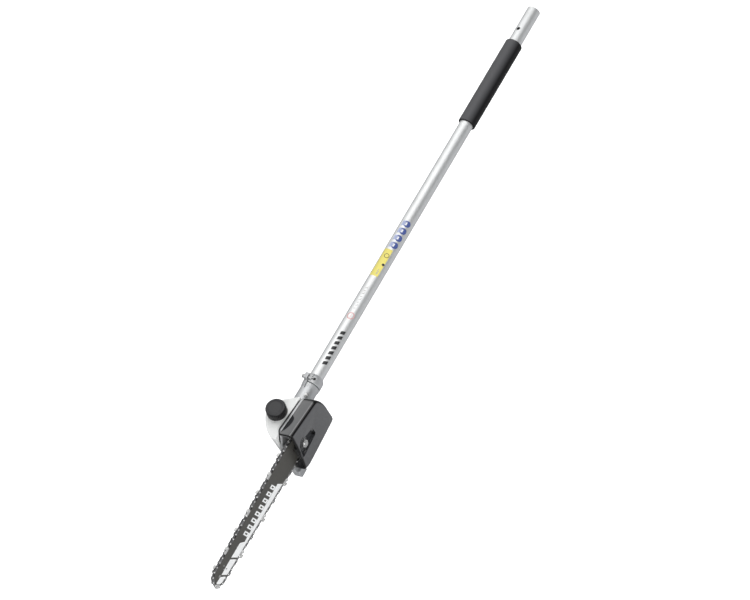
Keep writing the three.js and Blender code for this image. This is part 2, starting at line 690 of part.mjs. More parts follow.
function makeOilCap() {
  const capR = CAP_OD / 2;
  const bottom = FILLER_HEIGHT - 2.6;
  const top = bottom + CAP_HEIGHT;
  const skirt = star(CAP_RIBS, capR, capR - 0.9, 0.45);
  const ribbed = new THREE.ExtrudeGeometry(skirt, { depth: CAP_HEIGHT - 2, bevelEnabled: false }).translate(0, 0, bottom);
  const crown = turnedZ([[0, top - 3], [capR - 1.2, top - 3], [capR - 1.4, top - 1], [capR - 2.6, top], [0, top]], LARGE_ROUND);
  const well = ringZ(FILLER_BORE_R - GAP - 1.2, FILLER_BORE_R + 2.4 + GAP, bottom - 1, FILLER_HEIGHT + 2.4);
  const dish = turnedZ([[0, top - 1.2], [capR - 5, top - 1.2], [capR - 4, top + 1], [0, top + 1]], LARGE_ROUND);
  const bar = box(-capR + 7, capR - 7, -2.2, 2.2, top - 2, top + 0.1);
  const shell = cut(ribbed, well);
  const plug = rodZ(FILLER_BORE_R - GAP, -5, FILLER_HEIGHT);
  place("oil_cap", join(cut(join(shell, crown, plug), dish), bar), blackPlastic, fillerSpot);
  const seal = ringZ(FILLER_BORE_R - 0.4, FILLER_BORE_R + 2.2, FILLER_HEIGHT + GAP, FILLER_HEIGHT + GAP + 1.4);
  place("cap_seal", seal, sealRubber, fillerSpot);
}

const ringZ = (ri, ro, z0, z1, sides = ROUND) => turnedZ(ringProfile(ri, ro, z0, z1), sides);

function makePickUp() {
  const x = outX - 41;
  const bottom = TANK_BOTTOM + TANK_WALL + 1;
  const filterR = 5;
  const y = 1;
  place("oil_filter", rodZ(filterR, bottom, bottom + 12, x, y, 16), brightSteel);
  const route = new THREE.CatmullRomCurve3([
    new THREE.Vector3(x, y, bottom + 12 + GAP),
    new THREE.Vector3(x, y, bottom + 22),
    new THREE.Vector3(x + 3, y - 1, 12),
    new THREE.Vector3(x + 10, y - 3, 22),
    new THREE.Vector3(x + 19, y - 5, 29),
  ]);
  const ring = new THREE.Shape().absarc(0, 0, 2.2, 0, 2 * Math.PI);
  const options = { steps: 20, extrudePath: route, curveSegments: 5, bevelEnabled: false };
  place("pickup_hose", new THREE.ExtrudeGeometry(ring, options), sealRubber);
}

// ---- Guide bar ----

// The tangent points of the belt round circles [x, r] on the X axis, on the upper side, from right to left.
function tangentAngles(circles) {
  return circles.slice(1).map(([x, r], i) => {
    const [x0, r0] = circles[i];
    return Math.acos((r - r0) / (x0 - x));
  });
}

// The closed outline of a belt round circles on the X axis, each moved out by d, as a THREE.Path.
function beltPath(circles, d, PathClass = THREE.Path) {
  const last = circles.length - 1;
  const angles = tangentAngles(circles);
  const path = new PathClass();
  circles.forEach(([x, r], i) => {
    const start = i === 0 ? 0 : angles[i - 1];
    const end = i === last ? Math.PI : angles[i];
    path.absarc(x, 0, r + d, start, end, false);
  });
  for (let i = last; i >= 0; i -= 1) {
    const [x, r] = circles[i];
    const start = i === last ? Math.PI : 2 * Math.PI - angles[i];
    const end = i === 0 ? 2 * Math.PI : 2 * Math.PI - angles[i - 1];
    path.absarc(x, 0, r + d, start, end, false);
  }
  return path;
}

const barCircles = [[tailX - BAR_TAIL_R + 4, BAR_TAIL_R], [rootX, BAR_ROOT_R], [noseX, NOSE_R]];
const chainCircles = [[outX, SPROCKET_TIP_R + GAP + 0.3], [rootX, BAR_ROOT_R], [noseX, NOSE_R]];

function makeGuideBar() {
  const tailCut = box(tailX, tailX + 40, -60, 0, -40, 40);
  const plate = cut(slab(beltPath(barCircles, 0, THREE.Shape), barBack, barFront, 7), tailCut);
  const groove = beltPath(barCircles, 3, THREE.Shape);
  groove.holes.push(beltPath(barCircles, -GROOVE_DEPTH));
  const channel = slab(groove, barY + GROOVE_WIDTH / 2, barY - GROOVE_WIDTH / 2, 7);
  const slotR = STUD_D / 2 + GAP;
  const slot = new THREE.Shape();
  slot.absarc(studX + 12, 0, slotR, -Math.PI / 2, Math.PI / 2, false);
  slot.absarc(studX - 16, 0, slotR, Math.PI / 2, (3 * Math.PI) / 2, false);
  const studSlot = slab(slot, -30, -50, 8);
  const pinHole = rodY(TENSION_PIN_D / 2 + GAP, -50, -30, tensionX, TENSION_Z, 16);
  const noseHalf = GROOVE_WIDTH / 2;
  const noseWindow = rodY(noseTipR + GAP, barY - noseHalf, barY + noseHalf, noseX, 0, LARGE_ROUND);
  const pinR = 3.2;
  const axle = rodY(pinR, barFront + 0.2, barBack - 0.2, noseX, 0, 16);
  place("guide_bar", join(cut(plate, channel, studSlot, pinHole, noseWindow), axle), barPaint);

  const wheelShape = star(NOSE_TEETH, noseTipR, noseTipR - 2.6, 0.4);
  const teeth = slab(wheelShape, barY + TANG_THICK / 2, barY - TANG_THICK / 2);
  const wheel = cut(teeth.translate(noseX, 0, 0), rodY(pinR + GAP, -60, 0, noseX, 0, 16));
  place("nose_sprocket", wheel, steel);
}

// ---- Saw chain ----

function makeChain() {
  const run = 0.35;
  const strap = beltPath(chainCircles, STRAP_HEIGHT, THREE.Shape);
  strap.holes.push(beltPath(chainCircles, run));
  const half = CHAIN_WIDTH / 2;
  const straps = slab(strap, barY + half, barY - half, 7);
  const tangBand = beltPath(chainCircles, run + 1, THREE.Shape);
  tangBand.holes.push(beltPath(chainCircles, -TANG_DEPTH));
  const tangs = slab(tangBand, barY + TANG_THICK / 2, barY - TANG_THICK / 2, 7);
  const room = SPROCKET_TIP_R + GAP;
  const near = rodY(room, -60, 0, outX, 0, LARGE_ROUND);
  const far = rodY(room, -60, 0, outX - TENSION_TRAVEL, 0, LARGE_ROUND);
  const between = box(outX - TENSION_TRAVEL, outX, -60, 0, -room, room);

  const line = beltPath(chainCircles, STRAP_HEIGHT - 1);
  const length = line.getLength();
  const links = Math.round(length / CHAIN_PITCH);
  const cutters = [];
  for (let i = 0; i < links; i += 2) {
    const u = (i + 0.5) / links;
    const at = line.getPointAt(u);
    const along = line.getTangentAt(u);
    const turn = Math.atan2(along.y, along.x);
    const rise = CUTTER_HEIGHT - STRAP_HEIGHT + 1;
    const blank = box(-CUTTER_LENGTH / 2, CUTTER_LENGTH / 2, -CUTTER_WIDTH / 2, CUTTER_WIDTH / 2, -rise, 0);
    cutters.push(blank.rotateY(-turn).translate(at.x, barY, at.y));
  }
  place("saw_chain", join(cut(join(straps, tangs), near, far, between), ...cutters), chainSteel);
}

// ---- Bar clamp and tensioner ----

function makeBarClamp() {
  const studEnd = coverFront - 0.8;
  place("bar_stud", rodY(STUD_D / 2, studEnd, flangeFront + 1.3, studX), brightSteel);
  const washerBack = pocketFloor - GAP;
  const washer = ringY(STUD_D / 2 + GAP, NUT_WIDTH / 2 + 2, washerBack - 1.2, washerBack, studX);
  place("nut_washer", washer, brightSteel);
  const nutBack = washerBack - 1.2 - GAP;
  const hex = rodY(NUT_WIDTH / Math.sqrt(3), nutBack - NUT_HEIGHT, nutBack, 0, 0, 6);
  const nut = cut(hex.translate(studX, 0, 0), rodY(STUD_D / 2 + GAP, -80, 0, studX));
  place("bar_nut", nut, brightSteel);

  const plateBack = padFront - GAP;
  const plate = roundedShape([[padEnd + 2, -15, 3], [tailX - 4, -15, 3], [tailX - 4, 13, 3], [padEnd + 2, 13, 3]]);
  const full = slab(plate, plateBack, plateBack - 0.9, 4);
  const pinRoom = TENSION_PIN_D / 2 + 2 * GAP;
  const pinSlot = box(tensionX - pinRoom, tensionX + TENSION_TRAVEL + pinRoom, -60, 0, TENSION_Z - pinRoom, TENSION_Z + pinRoom);
  const studRoom = rodY(STUD_D / 2 + GAP, -60, 0, studX);
  place("inner_bar_plate", cut(full, pinSlot, studRoom), brightSteel);

  const half = channelHalf - GAP;
  const block = box(tensionX - 3.5, tensionX + 3.5, padFront + 0.2, tensionBack - GAP, TENSION_Z - half, TENSION_Z + half);
  const pin = rodY(TENSION_PIN_D / 2, barFront + 0.4, padFront + 1, tensionX, TENSION_Z, 16);
  const thread = rodX(tensionBoreR, -300, 0, tensionY, TENSION_Z, 16);
  place("tensioner_block", cut(join(block, pin), thread), steel);

  const head = rodX(3.6, padEnd - 3.4, padEnd - GAP, tensionY, TENSION_Z, 16);
  const groove = box(padEnd - 5, padEnd - 2.2, tensionY - 0.6, tensionY + 0.6, -30, 30);
  const shank = rodX(TENSION_THREAD_D / 2, padEnd - 1, tailX - 4 - GAP, tensionY, TENSION_Z, 16);
  place("tension_screw", join(cut(head, groove), shank), steel);
}

// ---- Sprocket cover ----

const pocketCorners = [
  [outX - 15, -9, 5],
  [outX - 15, 6.5, 6],
  [outX - 40, 11, 8],
  [outX - 58, 8, 5],
  [outX - 64, -14.5, 4],
];

function makeCover() {
  const outer = softSlab(coverCorners, coverBack, coverFront, COVER_EDGE);
  const inner = inset(coverCorners, COVER_WALL).map(([x, z, r], i) => (i >= 3 && i <= 5 ? [x - 14, z, r] : [x, z, r]));
  const room = slab(roundedShape(inner), coverBack + 20, coverFront + COVER_WALL);
  const pocketWall = slab(roundedShape(inset(pocketCorners, -COVER_WALL)), pocketFloor + COVER_WALL, coverFront + 1);
  const clampBoss = rodY(11, coverFront + 5, barFront - GAP, studX);
  const pocket = slab(roundedShape(pocketCorners), pocketFloor, coverFront - 5);
  const studRoom = rodY(STUD_D / 2 + GAP, -80, 0, studX);
  const shell = join(cut(outer, room), pocketWall, clampBoss);
  place("sprocket_cover", cut(shell, pocket, studRoom), blackGloss);
}

// ---- Assembly ----

makePole();
makeDriveLine();
makeBevelGears();
makeOutputShaft();
makeOilPump();
makeGearCase();
makeCaseFittings();
makeTank();
makeOilCap();
makePickUp();
makeGuideBar();
makeChain();
makeBarClamp();
makeCover();

// The origin is the middle of the footprint, at the lowest point.
const whole = new THREE.Box3().setFromObject(saw, true);
const middle = whole.getCenter(new THREE.Vector3());
saw.position.set(-middle.x, -middle.y, -whole.min.z);

export default saw;
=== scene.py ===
import math

import bmesh
import bpy
from mathutils import Matrix, Vector


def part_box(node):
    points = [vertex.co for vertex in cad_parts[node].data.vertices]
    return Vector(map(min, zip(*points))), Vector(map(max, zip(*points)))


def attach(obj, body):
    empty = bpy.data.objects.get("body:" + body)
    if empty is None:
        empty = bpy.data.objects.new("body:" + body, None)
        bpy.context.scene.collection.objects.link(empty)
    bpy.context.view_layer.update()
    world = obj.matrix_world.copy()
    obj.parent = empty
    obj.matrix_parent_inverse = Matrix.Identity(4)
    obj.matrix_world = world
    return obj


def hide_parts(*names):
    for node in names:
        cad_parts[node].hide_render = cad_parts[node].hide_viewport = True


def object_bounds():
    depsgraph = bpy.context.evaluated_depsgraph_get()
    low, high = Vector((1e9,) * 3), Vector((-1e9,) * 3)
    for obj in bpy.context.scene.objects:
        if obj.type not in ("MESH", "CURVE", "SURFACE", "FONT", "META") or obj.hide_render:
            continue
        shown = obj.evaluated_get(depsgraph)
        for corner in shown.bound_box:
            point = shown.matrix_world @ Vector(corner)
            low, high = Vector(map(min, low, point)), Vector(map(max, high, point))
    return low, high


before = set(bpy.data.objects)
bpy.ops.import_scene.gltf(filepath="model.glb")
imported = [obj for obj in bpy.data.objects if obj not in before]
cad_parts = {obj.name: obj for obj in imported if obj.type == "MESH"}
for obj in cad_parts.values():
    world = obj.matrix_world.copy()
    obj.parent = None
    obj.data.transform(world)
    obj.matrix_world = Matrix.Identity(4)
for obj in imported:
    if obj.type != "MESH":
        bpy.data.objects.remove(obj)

cad_low, cad_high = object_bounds()

# ---- Where things are -------------------------------------------------------------------------------
# Shapes are made in millimetres in the pole's own frame: x = 0 at the clamp collar's upper end, y = z = 0
# on the pole's axis, +X towards the coupling end and +Z up, with the sprocket cover facing -Y.

POLE_IN_COLLAR = 30.0
MM = 0.001

tube_low, tube_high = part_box("pole_tube")
DATUM = Vector((
    tube_low.x / MM + POLE_IN_COLLAR,
    (tube_low.y + tube_high.y) / 2 / MM,
    (tube_low.z + tube_high.z) / 2 / MM,
))


def span(node):
    """Lowest and highest corner of a CAD node in the pole's frame, in millimetres."""
    low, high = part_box(node)
    return low / MM - DATUM, high / MM - DATUM


def middle(node):
    low, high = span(node)
    return (low + high) / 2


POLE_R = span("pole_tube")[1].z
POLE_WALL = 1.6
COUPLING_X = span("pole_tube")[1].x
LOCK_HOLE_INSET = 54.0
LOCK_HOLE_R = 3.5

SPROCKET_X = middle("drive_sprocket").x
STUD_X = middle("bar_nut").x
STUD_HOLE_R = 4.3
TENSIONER_Z = 10.5
BAR_Y = middle("guide_bar").y
BAR_FRONT, BAR_BACK = span("guide_bar")[0].y, span("guide_bar")[1].y
BAR_TAIL_X = span("guide_bar")[1].x
BAR_ROOT_X = SPROCKET_X - 76.0
BAR_ROOT_R = 20.0
BAR_TAIL_R = 14.0
NOSE_X = middle("nose_sprocket").x
NOSE_R = NOSE_X - span("guide_bar")[0].x
CHAIN_SPROCKET_R = 16.2

FLANGE_FRONT = -28.0
FLANGE_BACK = -24.0
PAD_FRONT = -34.4
PAD_END_X = STUD_X - 24.0
FLANGE_END_X = PAD_END_X - 2.0
COVER_FRONT, COVER_BACK = span("sprocket_cover")[0].y, span("sprocket_cover")[1].y
COVER_WALL = 2.6
COVER_EDGE = 6.0
POCKET_FLOOR = COVER_FRONT + 8.3
COLLAR_R = POLE_R + 4.3
NECK_R = POLE_R + 3.3
COLLAR_LENGTH = 18.5
CLAMP_X = -10.0
CLAMP_Z = POLE_R + 3.7
CLAMP_SPLIT = 0.9
INDEX_SCREW_LEAN = 0.62
PLUG_X = -44.0
PLUG_LEAN = 0.75
BOX_R = 22.5
BOX_BACK = NECK_R + 0.6
FIN_X = SPROCKET_X - 30.0
FOOT_X = SPROCKET_X - 78.0
FOOT_BOTTOM = -60.0
FOOT_TOP = -46.0

TANK_FRONT = -21.0
TANK_TOP = 40.5
TANK_BOTTOM = -19.0
TANK_WALL = 2.4
TANK_SLOPE = math.radians(13.0)
FILLER_X = SPROCKET_X - 20.0
FILLER_R = 11.0
FILLER_HEIGHT = 4.0
CAP_R = 18.0
CAP_HEIGHT = 17.0
CAP_RIBS = 34

# Corners (x from the sprocket's axis, z, radius) of the cover's outline, counter-clockwise.
COVER_CORNERS = [
    (33, -34, 8), (34, 12, 14), (24, 33.5, 9), (-60, 42, 3), (-65, 0, 30), (-75, -37, 5), (-61, -41, 10),
]
POCKET_CORNERS = [(-15, -9, 5), (-15, 6.5, 6), (-40, 11, 8), (-58, 8, 5), (-64, -14.5, 4)]


# ---- Making and joining forms -----------------------------------------------------------------------

def form(points, faces):
    """A mesh object in millimetres in the pole's frame."""
    mesh = bpy.data.meshes.new("form")
    mesh.from_pydata([tuple(p) for p in points], [], faces)
    mesh.validate()
    made = bpy.data.objects.new("form", mesh)
    bpy.context.scene.collection.objects.link(made)
    return made


def outward(made):
    """Turns every face to look outwards."""
    work = bmesh.new()
    work.from_mesh(made.data)
    bmesh.ops.recalc_face_normals(work, faces=work.faces)
    work.to_mesh(made.data)
    work.free()
    return made


def loft(rings, closed=True):
    """A skin through rings of points, one after the other, with a face on the first and the last."""
    count = len(rings[0])
    points = [p for ring in rings for p in ring]
    faces = []
    for k in range(len(rings) - 1):
        for i in range(count):
            a, b = k * count + i, k * count + (i + 1) % count
            faces.append((a, b, b + count, a + count))
    if closed:
        faces.append(tuple(range(count)))
        faces.append(tuple(range((len(rings) - 1) * count, len(rings) * count)))
    else:
        last = (len(rings) - 1) * count
        for i in range(count):
            faces.append((last + i, last + (i + 1) % count, (i + 1) % count, i))
    return outward(form(points, faces))


def about(axis, radius, turn, along):
    """The point at a radius and a turn round the X, Y or Z axis, and at a place along it."""
    a, b = radius * math.cos(turn), radius * math.sin(turn)
    return {"X": (along, a, b), "Y": (a, along, b), "Z": (a, b, along)}[axis]


def turned(profile, axis, sides=96, at=(0, 0, 0)):
    """A turned form. The profile of (radius, place) starts and ends on the axis, or closes as a ring."""
    rings = []
    for radius, along in profile:
        if radius > 0:
            turns = [2 * math.pi * i / sides for i in range(sides)]
            rings.append([Vector(about(axis, radius, turn, along)) + Vector(at) for turn in turns])
    return loft(rings, closed=profile[0][0] == 0)


def rod(axis, radius, start, end, at=(0, 0, 0), sides=96, edge=0.0):
    """A solid rod along an axis, its ends chamfered by edge."""
    profile = [(radius, start), (radius, end)]
    if edge:
        inner = radius - edge
        profile = [(inner, start), (radius, start + edge), (radius, end - edge), (inner, end)]
    return turned([(0, start)] + profile + [(0, end)], axis, sides, at)


def block(x0, x1, y0, y1, z0, z1):
    corners = [(x0, y0), (x1, y0), (x1, y1), (x0, y1)]
    return loft([[(x, y, z) for x, y in corners] for z in (z0, z1)])


def rounded(corners, steps=10):
    """An outline whose corners (a, b, radius) are rounded by smooth curves."""
    points = []
    count = len(corners)
    for i, (a, b, radius) in enumerate(corners):
        here = Vector((a, b))
        before = Vector(corners[i - 1][:2])
        after = Vector(corners[(i + 1) % count][:2])
        to_before, to_after = before - here, after - here
        start = here + to_before.normalized() * min(radius, to_before.length * 0.45)
        end = here + to_after.normalized() * min(radius, to_after.length * 0.45)
        for k in range(steps + 1):
            t = k / steps
            points.append(start * (1 - t) ** 2 + here * 2 * t * (1 - t) + end * t ** 2)
    return points


def inset(corners, d):
    """Convex counter-clockwise corners moved inwards by d."""
    moved = []
    count = len(corners)
    for i, (a, b, radius) in enumerate(corners):
        here = Vector((a, b))
        u = (here - Vector(corners[i - 1][:2])).normalized()
        v = (Vector(corners[(i + 1) % count][:2]) - here).normalized()
        bend = 1 + u.dot(v)
        moved.append((a + (-u.y - v.y) / bend * d, b + (u.x + v.x) / bend * d, max(radius - d, 0.4)))
    return moved


def shifted(corners, x):
    return [(a + x, b, r) for a, b, r in corners]


def plate(outline, back, front):
    """A flat outline in X and Z, made solid from its back to its front."""
    return loft([[(p[0], y, p[1]) for p in outline] for y in (back, front)])


def soft_plate(corners, back, front, edge, steps=10):
    """The same, with its front edge rounded over."""
    layers = [(0.0, back)]
    for i in range(steps + 1):
        turn = i / steps * math.pi / 2
        layers.append((edge * (1 - math.cos(turn)), front + edge * (1 - math.sin(turn))))
    return loft([[(p.x, y, p.y) for p in rounded(inset(corners, d), 12)] for d, y in layers])


def settle(made):
    """Applies the form's modifiers."""
    graph = bpy.context.evaluated_depsgraph_get()
    mesh = bpy.data.meshes.new_from_object(made.evaluated_get(graph))
    made.modifiers.clear()
    made.data = mesh
    return made


def combine(made, others, operation):
    for other in others:
        step = made.modifiers.new("combine", "BOOLEAN")
        step.operation = operation
        step.solver = "EXACT"
        step.object = other
        settle(made)
        bpy.data.objects.remove(other)
    return made


def fused(made, *others):
    return combine(made, others, "UNION")


def carved(made, *tools):
    return combine(made, tools, "DIFFERENCE")


def gathered(forms):
    """Several forms in one mesh, left as they are."""
    work = bmesh.new()
    for each in forms:
        work.from_mesh(each.data)
        bpy.data.objects.remove(each)
    made = form([], [])
    work.to_mesh(made.data)
    work.free()
    return made


def cast_over(made, grain=0.7, passes=4, keep=0.5):
    """Remeshes a form finely and relaxes it, so that every edge gets a casting's or a moulding's radius."""
    skin = made.modifiers.new("skin", "REMESH")
    skin.mode = "VOXEL"
    skin.voxel_size = grain
    settle(made)
    relax = made.modifiers.new("relax", "SMOOTH")
    relax.factor = 0.5
    relax.iterations = passes
    if keep < 1:
        thin = made.modifiers.new("thin", "DECIMATE")
        thin.ratio = keep
    return settle(made)


def eased(made, width, steps=2, angle=32):
    """Rounds every sharp edge by a small width."""
    ease = made.modifiers.new("ease", "BEVEL")
    ease.width = width
    ease.segments = steps
    ease.limit_method = "ANGLE"
    ease.angle_limit = math.radians(angle)
    ease.harden_normals = False
    return settle(made)


def cad_form(node):
    """A welded copy of a CAD node, in millimetres in the pole's frame."""
    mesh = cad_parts[node].data.copy()
    mesh.materials.clear()
    made = bpy.data.objects.new("form", mesh)
    bpy.context.scene.collection.objects.link(made)
    work = bmesh.new()
    work.from_mesh(mesh)
    bmesh.ops.remove_doubles(work, verts=work.verts, dist=0.00001)
    bmesh.ops.dissolve_limit(work, angle_limit=0.01, verts=work.verts, edges=work.edges)
    for vertex in work.verts:
        vertex.co = vertex.co / MM - DATUM
    work.to_mesh(mesh)
    work.free()
    return made


def deliver(made, name, finish, body, replaces=(), angle=34):
    """Moves a finished form to its place in metres, and hands it to the frame."""
    made.name = name
    made.data.name = name
    made.data.transform(Matrix.Translation(DATUM * MM) @ Matrix.Scale(MM, 4))
    for face in made.data.polygons:
        face.use_smooth = True
    made.data.set_sharp_from_angle(angle=math.radians(angle))
    made.data.materials.clear()
    made.data.materials.append(finish)
    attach(made, body)
    if replaces:
        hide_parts(*replaces)
    return made


# ---- Shared surface effects -------------------------------------------------------------------------

def effect(name, inputs, outputs):
    """A new node group with named float inputs (name, default) and outputs."""
    group = bpy.data.node_groups.new(name, "ShaderNodeTree")
    for label, default in inputs:
        socket = group.interface.new_socket(name=label, in_out="INPUT", socket_type="NodeSocketFloat")
        socket.default_value = default
    for label in outputs:
        group.interface.new_socket(name=label, in_out="OUTPUT", socket_type="NodeSocketFloat")
    return group, group.nodes.new("NodeGroupInput"), group.nodes.new("NodeGroupOutput")


def math_node(tree, operation, first, second):
    node = tree.nodes.new("ShaderNodeMath")
    node.operation = operation
    for socket, value in zip(node.inputs, (first, second)):
        if isinstance(value, (int, float)):
            socket.default_value = value
        else:
            tree.links.new(value, socket)
    return node.outputs[0]


def between(tree, value, low, high):
    """Value stretched so that low gives 0 and high gives 1, held between them."""
    node = tree.nodes.new("ShaderNodeMapRange")
    node.inputs["From Min"].default_value = low
    node.inputs["From Max"].default_value = high
    tree.links.new(value, node.inputs["Value"])
    return node.outputs["Result"]


def noise(tree, scale, stretch=(1, 1, 1), detail=4.0):
    """Noise over the frame's own metres. Scale is a number or a socket."""
    place = tree.nodes.new("ShaderNodeTexCoord")
    spread = tree.nodes.new("ShaderNodeMapping")
    spread.inputs["Scale"].default_value = stretch
    tree.links.new(place.outputs["Object"], spread.inputs["Vector"])
    node = tree.nodes.new("ShaderNodeTexNoise")
    node.inputs["Detail"].default_value = detail
    if isinstance(scale, (int, float)):
        node.inputs["Scale"].default_value = scale
    else:
        tree.links.new(scale, node.inputs["Scale"])
    tree.links.new(spread.outputs["Vector"], node.inputs["Vector"])
    return node.outputs["Fac"]


def make_grain():
    """Fine and broad unevenness: Fine for bump, Broad for slow changes of tone."""
    group, start, end = effect("grain", [("Scale", 900.0)], ["Fine", "Broad"])
    group.links.new(noise(group, start.outputs["Scale"]), end.inputs["Fine"])
    broad = math_node(group, "MULTIPLY", start.outputs["Scale"], 0.06)
    group.links.new(noise(group, broad, detail=2.0), end.inputs["Broad"])
    return group


def make_wear():
    """Wear along edges: a mask that is 1 where an edge is rubbed bright."""
    group, start, end = effect("edge wear", [("Amount", 0.5)], ["Mask"])
    shape = group.nodes.new("ShaderNodeNewGeometry")
    softened = group.nodes.new("ShaderNodeBevel")
    softened.samples = 4
    softened.inputs["Radius"].default_value = 0.5 * MM
    turn = group.nodes.new("ShaderNodeVectorMath")
    turn.operation = "DOT_PRODUCT"
    group.links.new(shape.outputs["Normal"], turn.inputs[0])
    group.links.new(softened.outputs["Normal"], turn.inputs[1])
    edge = between(group, math_node(group, "SUBTRACT", 1.0, turn.outputs["Value"]), 0.02, 0.16)
    broken = between(group, noise(group, 260.0), 0.35, 0.65)
    rubbed = math_node(group, "MULTIPLY", edge, broken)
    group.links.new(math_node(group, "MULTIPLY", rubbed, start.outputs["Amount"]), end.inputs["Mask"])
    return group


def make_dust_and_top_light():
    """Mask: dust that lies in patches on what faces up. Upward: how far the surface faces up, which the
    finishes use as painted light to make their tops lighter.
    """
    group, start, end = effect("dust and painted top light", [("Amount", 0.3)], ["Mask", "Upward"])
    shape = group.nodes.new("ShaderNodeNewGeometry")
    split = group.nodes.new("ShaderNodeSeparateXYZ")
    group.links.new(shape.outputs["Normal"], split.inputs[0])
    up = between(group, split.outputs["Z"], 0.2, 1.0)
    group.links.new(between(group, split.outputs["Z"], 0.35, 0.95), end.inputs["Upward"])
    patch = between(group, noise(group, 45.0, detail=6.0), 0.38, 0.72)
    lying = math_node(group, "MULTIPLY", up, patch)
    group.links.new(math_node(group, "MULTIPLY", lying, start.outputs["Amount"]), end.inputs["Mask"])
    return group


def make_drawn_lines():
    """Fine lines along the pole from drawing and handling."""
    group, start, end = effect("drawn lines", [("Scale", 60.0)], ["Lines"])
    group.links.new(noise(group, start.outputs["Scale"], (0.35, 26, 26), 5.0), end.inputs["Lines"])
    return group


def make_painted_dark_edges():
    """A mask that is 1 where a wall turns over into the next one, used to paint dark reflections on rounded
    edges.
    """
    group, start, end = effect("painted dark edges", [("Amount", 1.0)], ["Mask"])
    place = group.nodes.new("ShaderNodeTexCoord")
    split = group.nodes.new("ShaderNodeSeparateXYZ")
    group.links.new(place.outputs["Normal"], split.inputs[0])
    squares = [math_node(group, "MULTIPLY", split.outputs[axis], split.outputs[axis]) for axis in "XYZ"]
    greatest = math_node(group, "MAXIMUM", math_node(group, "MAXIMUM", squares[0], squares[1]), squares[2])
    turning = between(group, math_node(group, "SUBTRACT", 1.0, greatest), 0.02, 0.22)
    group.links.new(math_node(group, "MULTIPLY", turning, start.outputs["Amount"]), end.inputs["Mask"])
    return group


GRAIN = make_grain()
WEAR = make_wear()
PAINTED_DARK_EDGES = make_painted_dark_edges()
DUST_AND_TOP_LIGHT = make_dust_and_top_light()
DRAWN = make_drawn_lines()


# ---- Finishes ---------------------------------------------------------------------------------------

class Finish:
    """A material round one Principled shader, with the shared effects placed in it."""

    def __init__(self, name, colour, roughness, metallic=0.0, **fixed):
        self.material = bpy.data.materials.new(name)
        self.material.use_nodes = True
        self.tree = self.material.node_tree
        self.shader = self.tree.nodes["Principled BSDF"]
        self.shader.inputs["Metallic"].default_value = metallic
        self.shader.inputs["Roughness"].default_value = roughness
        self.shader.inputs["Base Color"].default_value = (*colour, 1)
        for label, value in fixed.items():
            self.shader.inputs[label.replace("_", " ")].default_value = value
        self.colour = colour
        self.tone = None
        self.height = None

    def use(self, group, **values):
        node = self.tree.nodes.new("ShaderNodeGroup")
        node.node_tree = group
        for label, value in values.items():
            node.inputs[label].default_value = value
        return node.outputs

    def tint(self, mask, colour, strength=1.0):
        """Mixes a colour into the base colour by a mask."""
        mix = self.tree.nodes.new("ShaderNodeMix")
        mix.data_type = "RGBA"
        if self.tone is None:
            mix.inputs["A"].default_value = (*self.colour, 1)
        else:
            self.tree.links.new(self.tone, mix.inputs["A"])
        mix.inputs["B"].default_value = (*colour, 1)
        if strength != 1.0:
            mask = math_node(self.tree, "MULTIPLY", mask, strength)
        self.tree.links.new(mask, mix.inputs["Factor"])
        self.tone = mix.outputs["Result"]
        return self

    def run(self, label, value, low, high):
        """Makes a shader input run from low to high as the value runs from 0 to 1."""
        node = self.tree.nodes.new("ShaderNodeMapRange")
        node.inputs["To Min"].default_value = low
        node.inputs["To Max"].default_value = high
        self.tree.links.new(value, node.inputs["Value"])
        self.tree.links.new(node.outputs["Result"], self.shader.inputs[label])
        return self

    def rough(self, value, low, high):
        return self.run("Roughness", value, low, high)

    def bump(self, value, depth_mm, strength=1.0):
        node = self.tree.nodes.new("ShaderNodeBump")
        node.inputs["Strength"].default_value = strength
        node.inputs["Distance"].default_value = depth_mm * MM
        self.tree.links.new(value, node.inputs["Height"])
        if self.height is not None:
            self.tree.links.new(self.height, node.inputs["Normal"])
        self.height = node.outputs["Normal"]
        return self

    def done(self):
        if self.tone is not None:
            self.tree.links.new(self.tone, self.shader.inputs["Base Color"])
        if self.height is not None:
            self.tree.links.new(self.height, self.shader.inputs["Normal"])
        return self.material


def drawn_aluminium():
    made = Finish("drawn aluminium", (0.86, 0.87, 0.87), 0.40, 1.0)
    lines = made.use(DRAWN, Scale=60.0)
    grain = made.use(GRAIN, Scale=700.0)
    made.tint(lines["Lines"], (0.74, 0.75, 0.75), 0.4)
    made.tint(made.use(DUST_AND_TOP_LIGHT, Amount=0.25)["Mask"], (0.55, 0.54, 0.52))
    made.rough(lines["Lines"], 0.42, 0.60)
    made.bump(lines["Lines"], 0.03, 0.35)
    made.bump(grain["Fine"], 0.02, 0.25)
    return made.done()


def cast_aluminium():
    made = Finish("cast aluminium", (0.66, 0.67, 0.68), 0.42, 0.85)
    grain = made.use(GRAIN, Scale=850.0)
    made.tint(grain["Broad"], (0.52, 0.53, 0.54), 0.5)
    made.tint(made.use(WEAR, Amount=0.6)["Mask"], (0.88, 0.88, 0.88))
    made.tint(made.use(DUST_AND_TOP_LIGHT, Amount=0.3)["Mask"], (0.42, 0.41, 0.39))
    made.rough(grain["Fine"], 0.34, 0.58)
    made.bump(grain["Fine"], 0.10, 0.55)
    made.bump(grain["Broad"], 0.25, 0.3)
    return made.done()


def plated_steel(name="plated steel", tone=0.72, roughness=0.22):
    made = Finish(name, (tone, tone, tone * 0.98), roughness, 1.0)
    grain = made.use(GRAIN, Scale=1500.0)
    made.tint(grain["Broad"], (tone * 0.72,) * 3, 0.5)
    made.tint(made.use(WEAR, Amount=0.5)["Mask"], (0.9, 0.9, 0.88))
    made.rough(grain["Fine"], roughness - 0.06, roughness + 0.16)
    made.bump(grain["Fine"], 0.03, 0.3)
    return made.done()


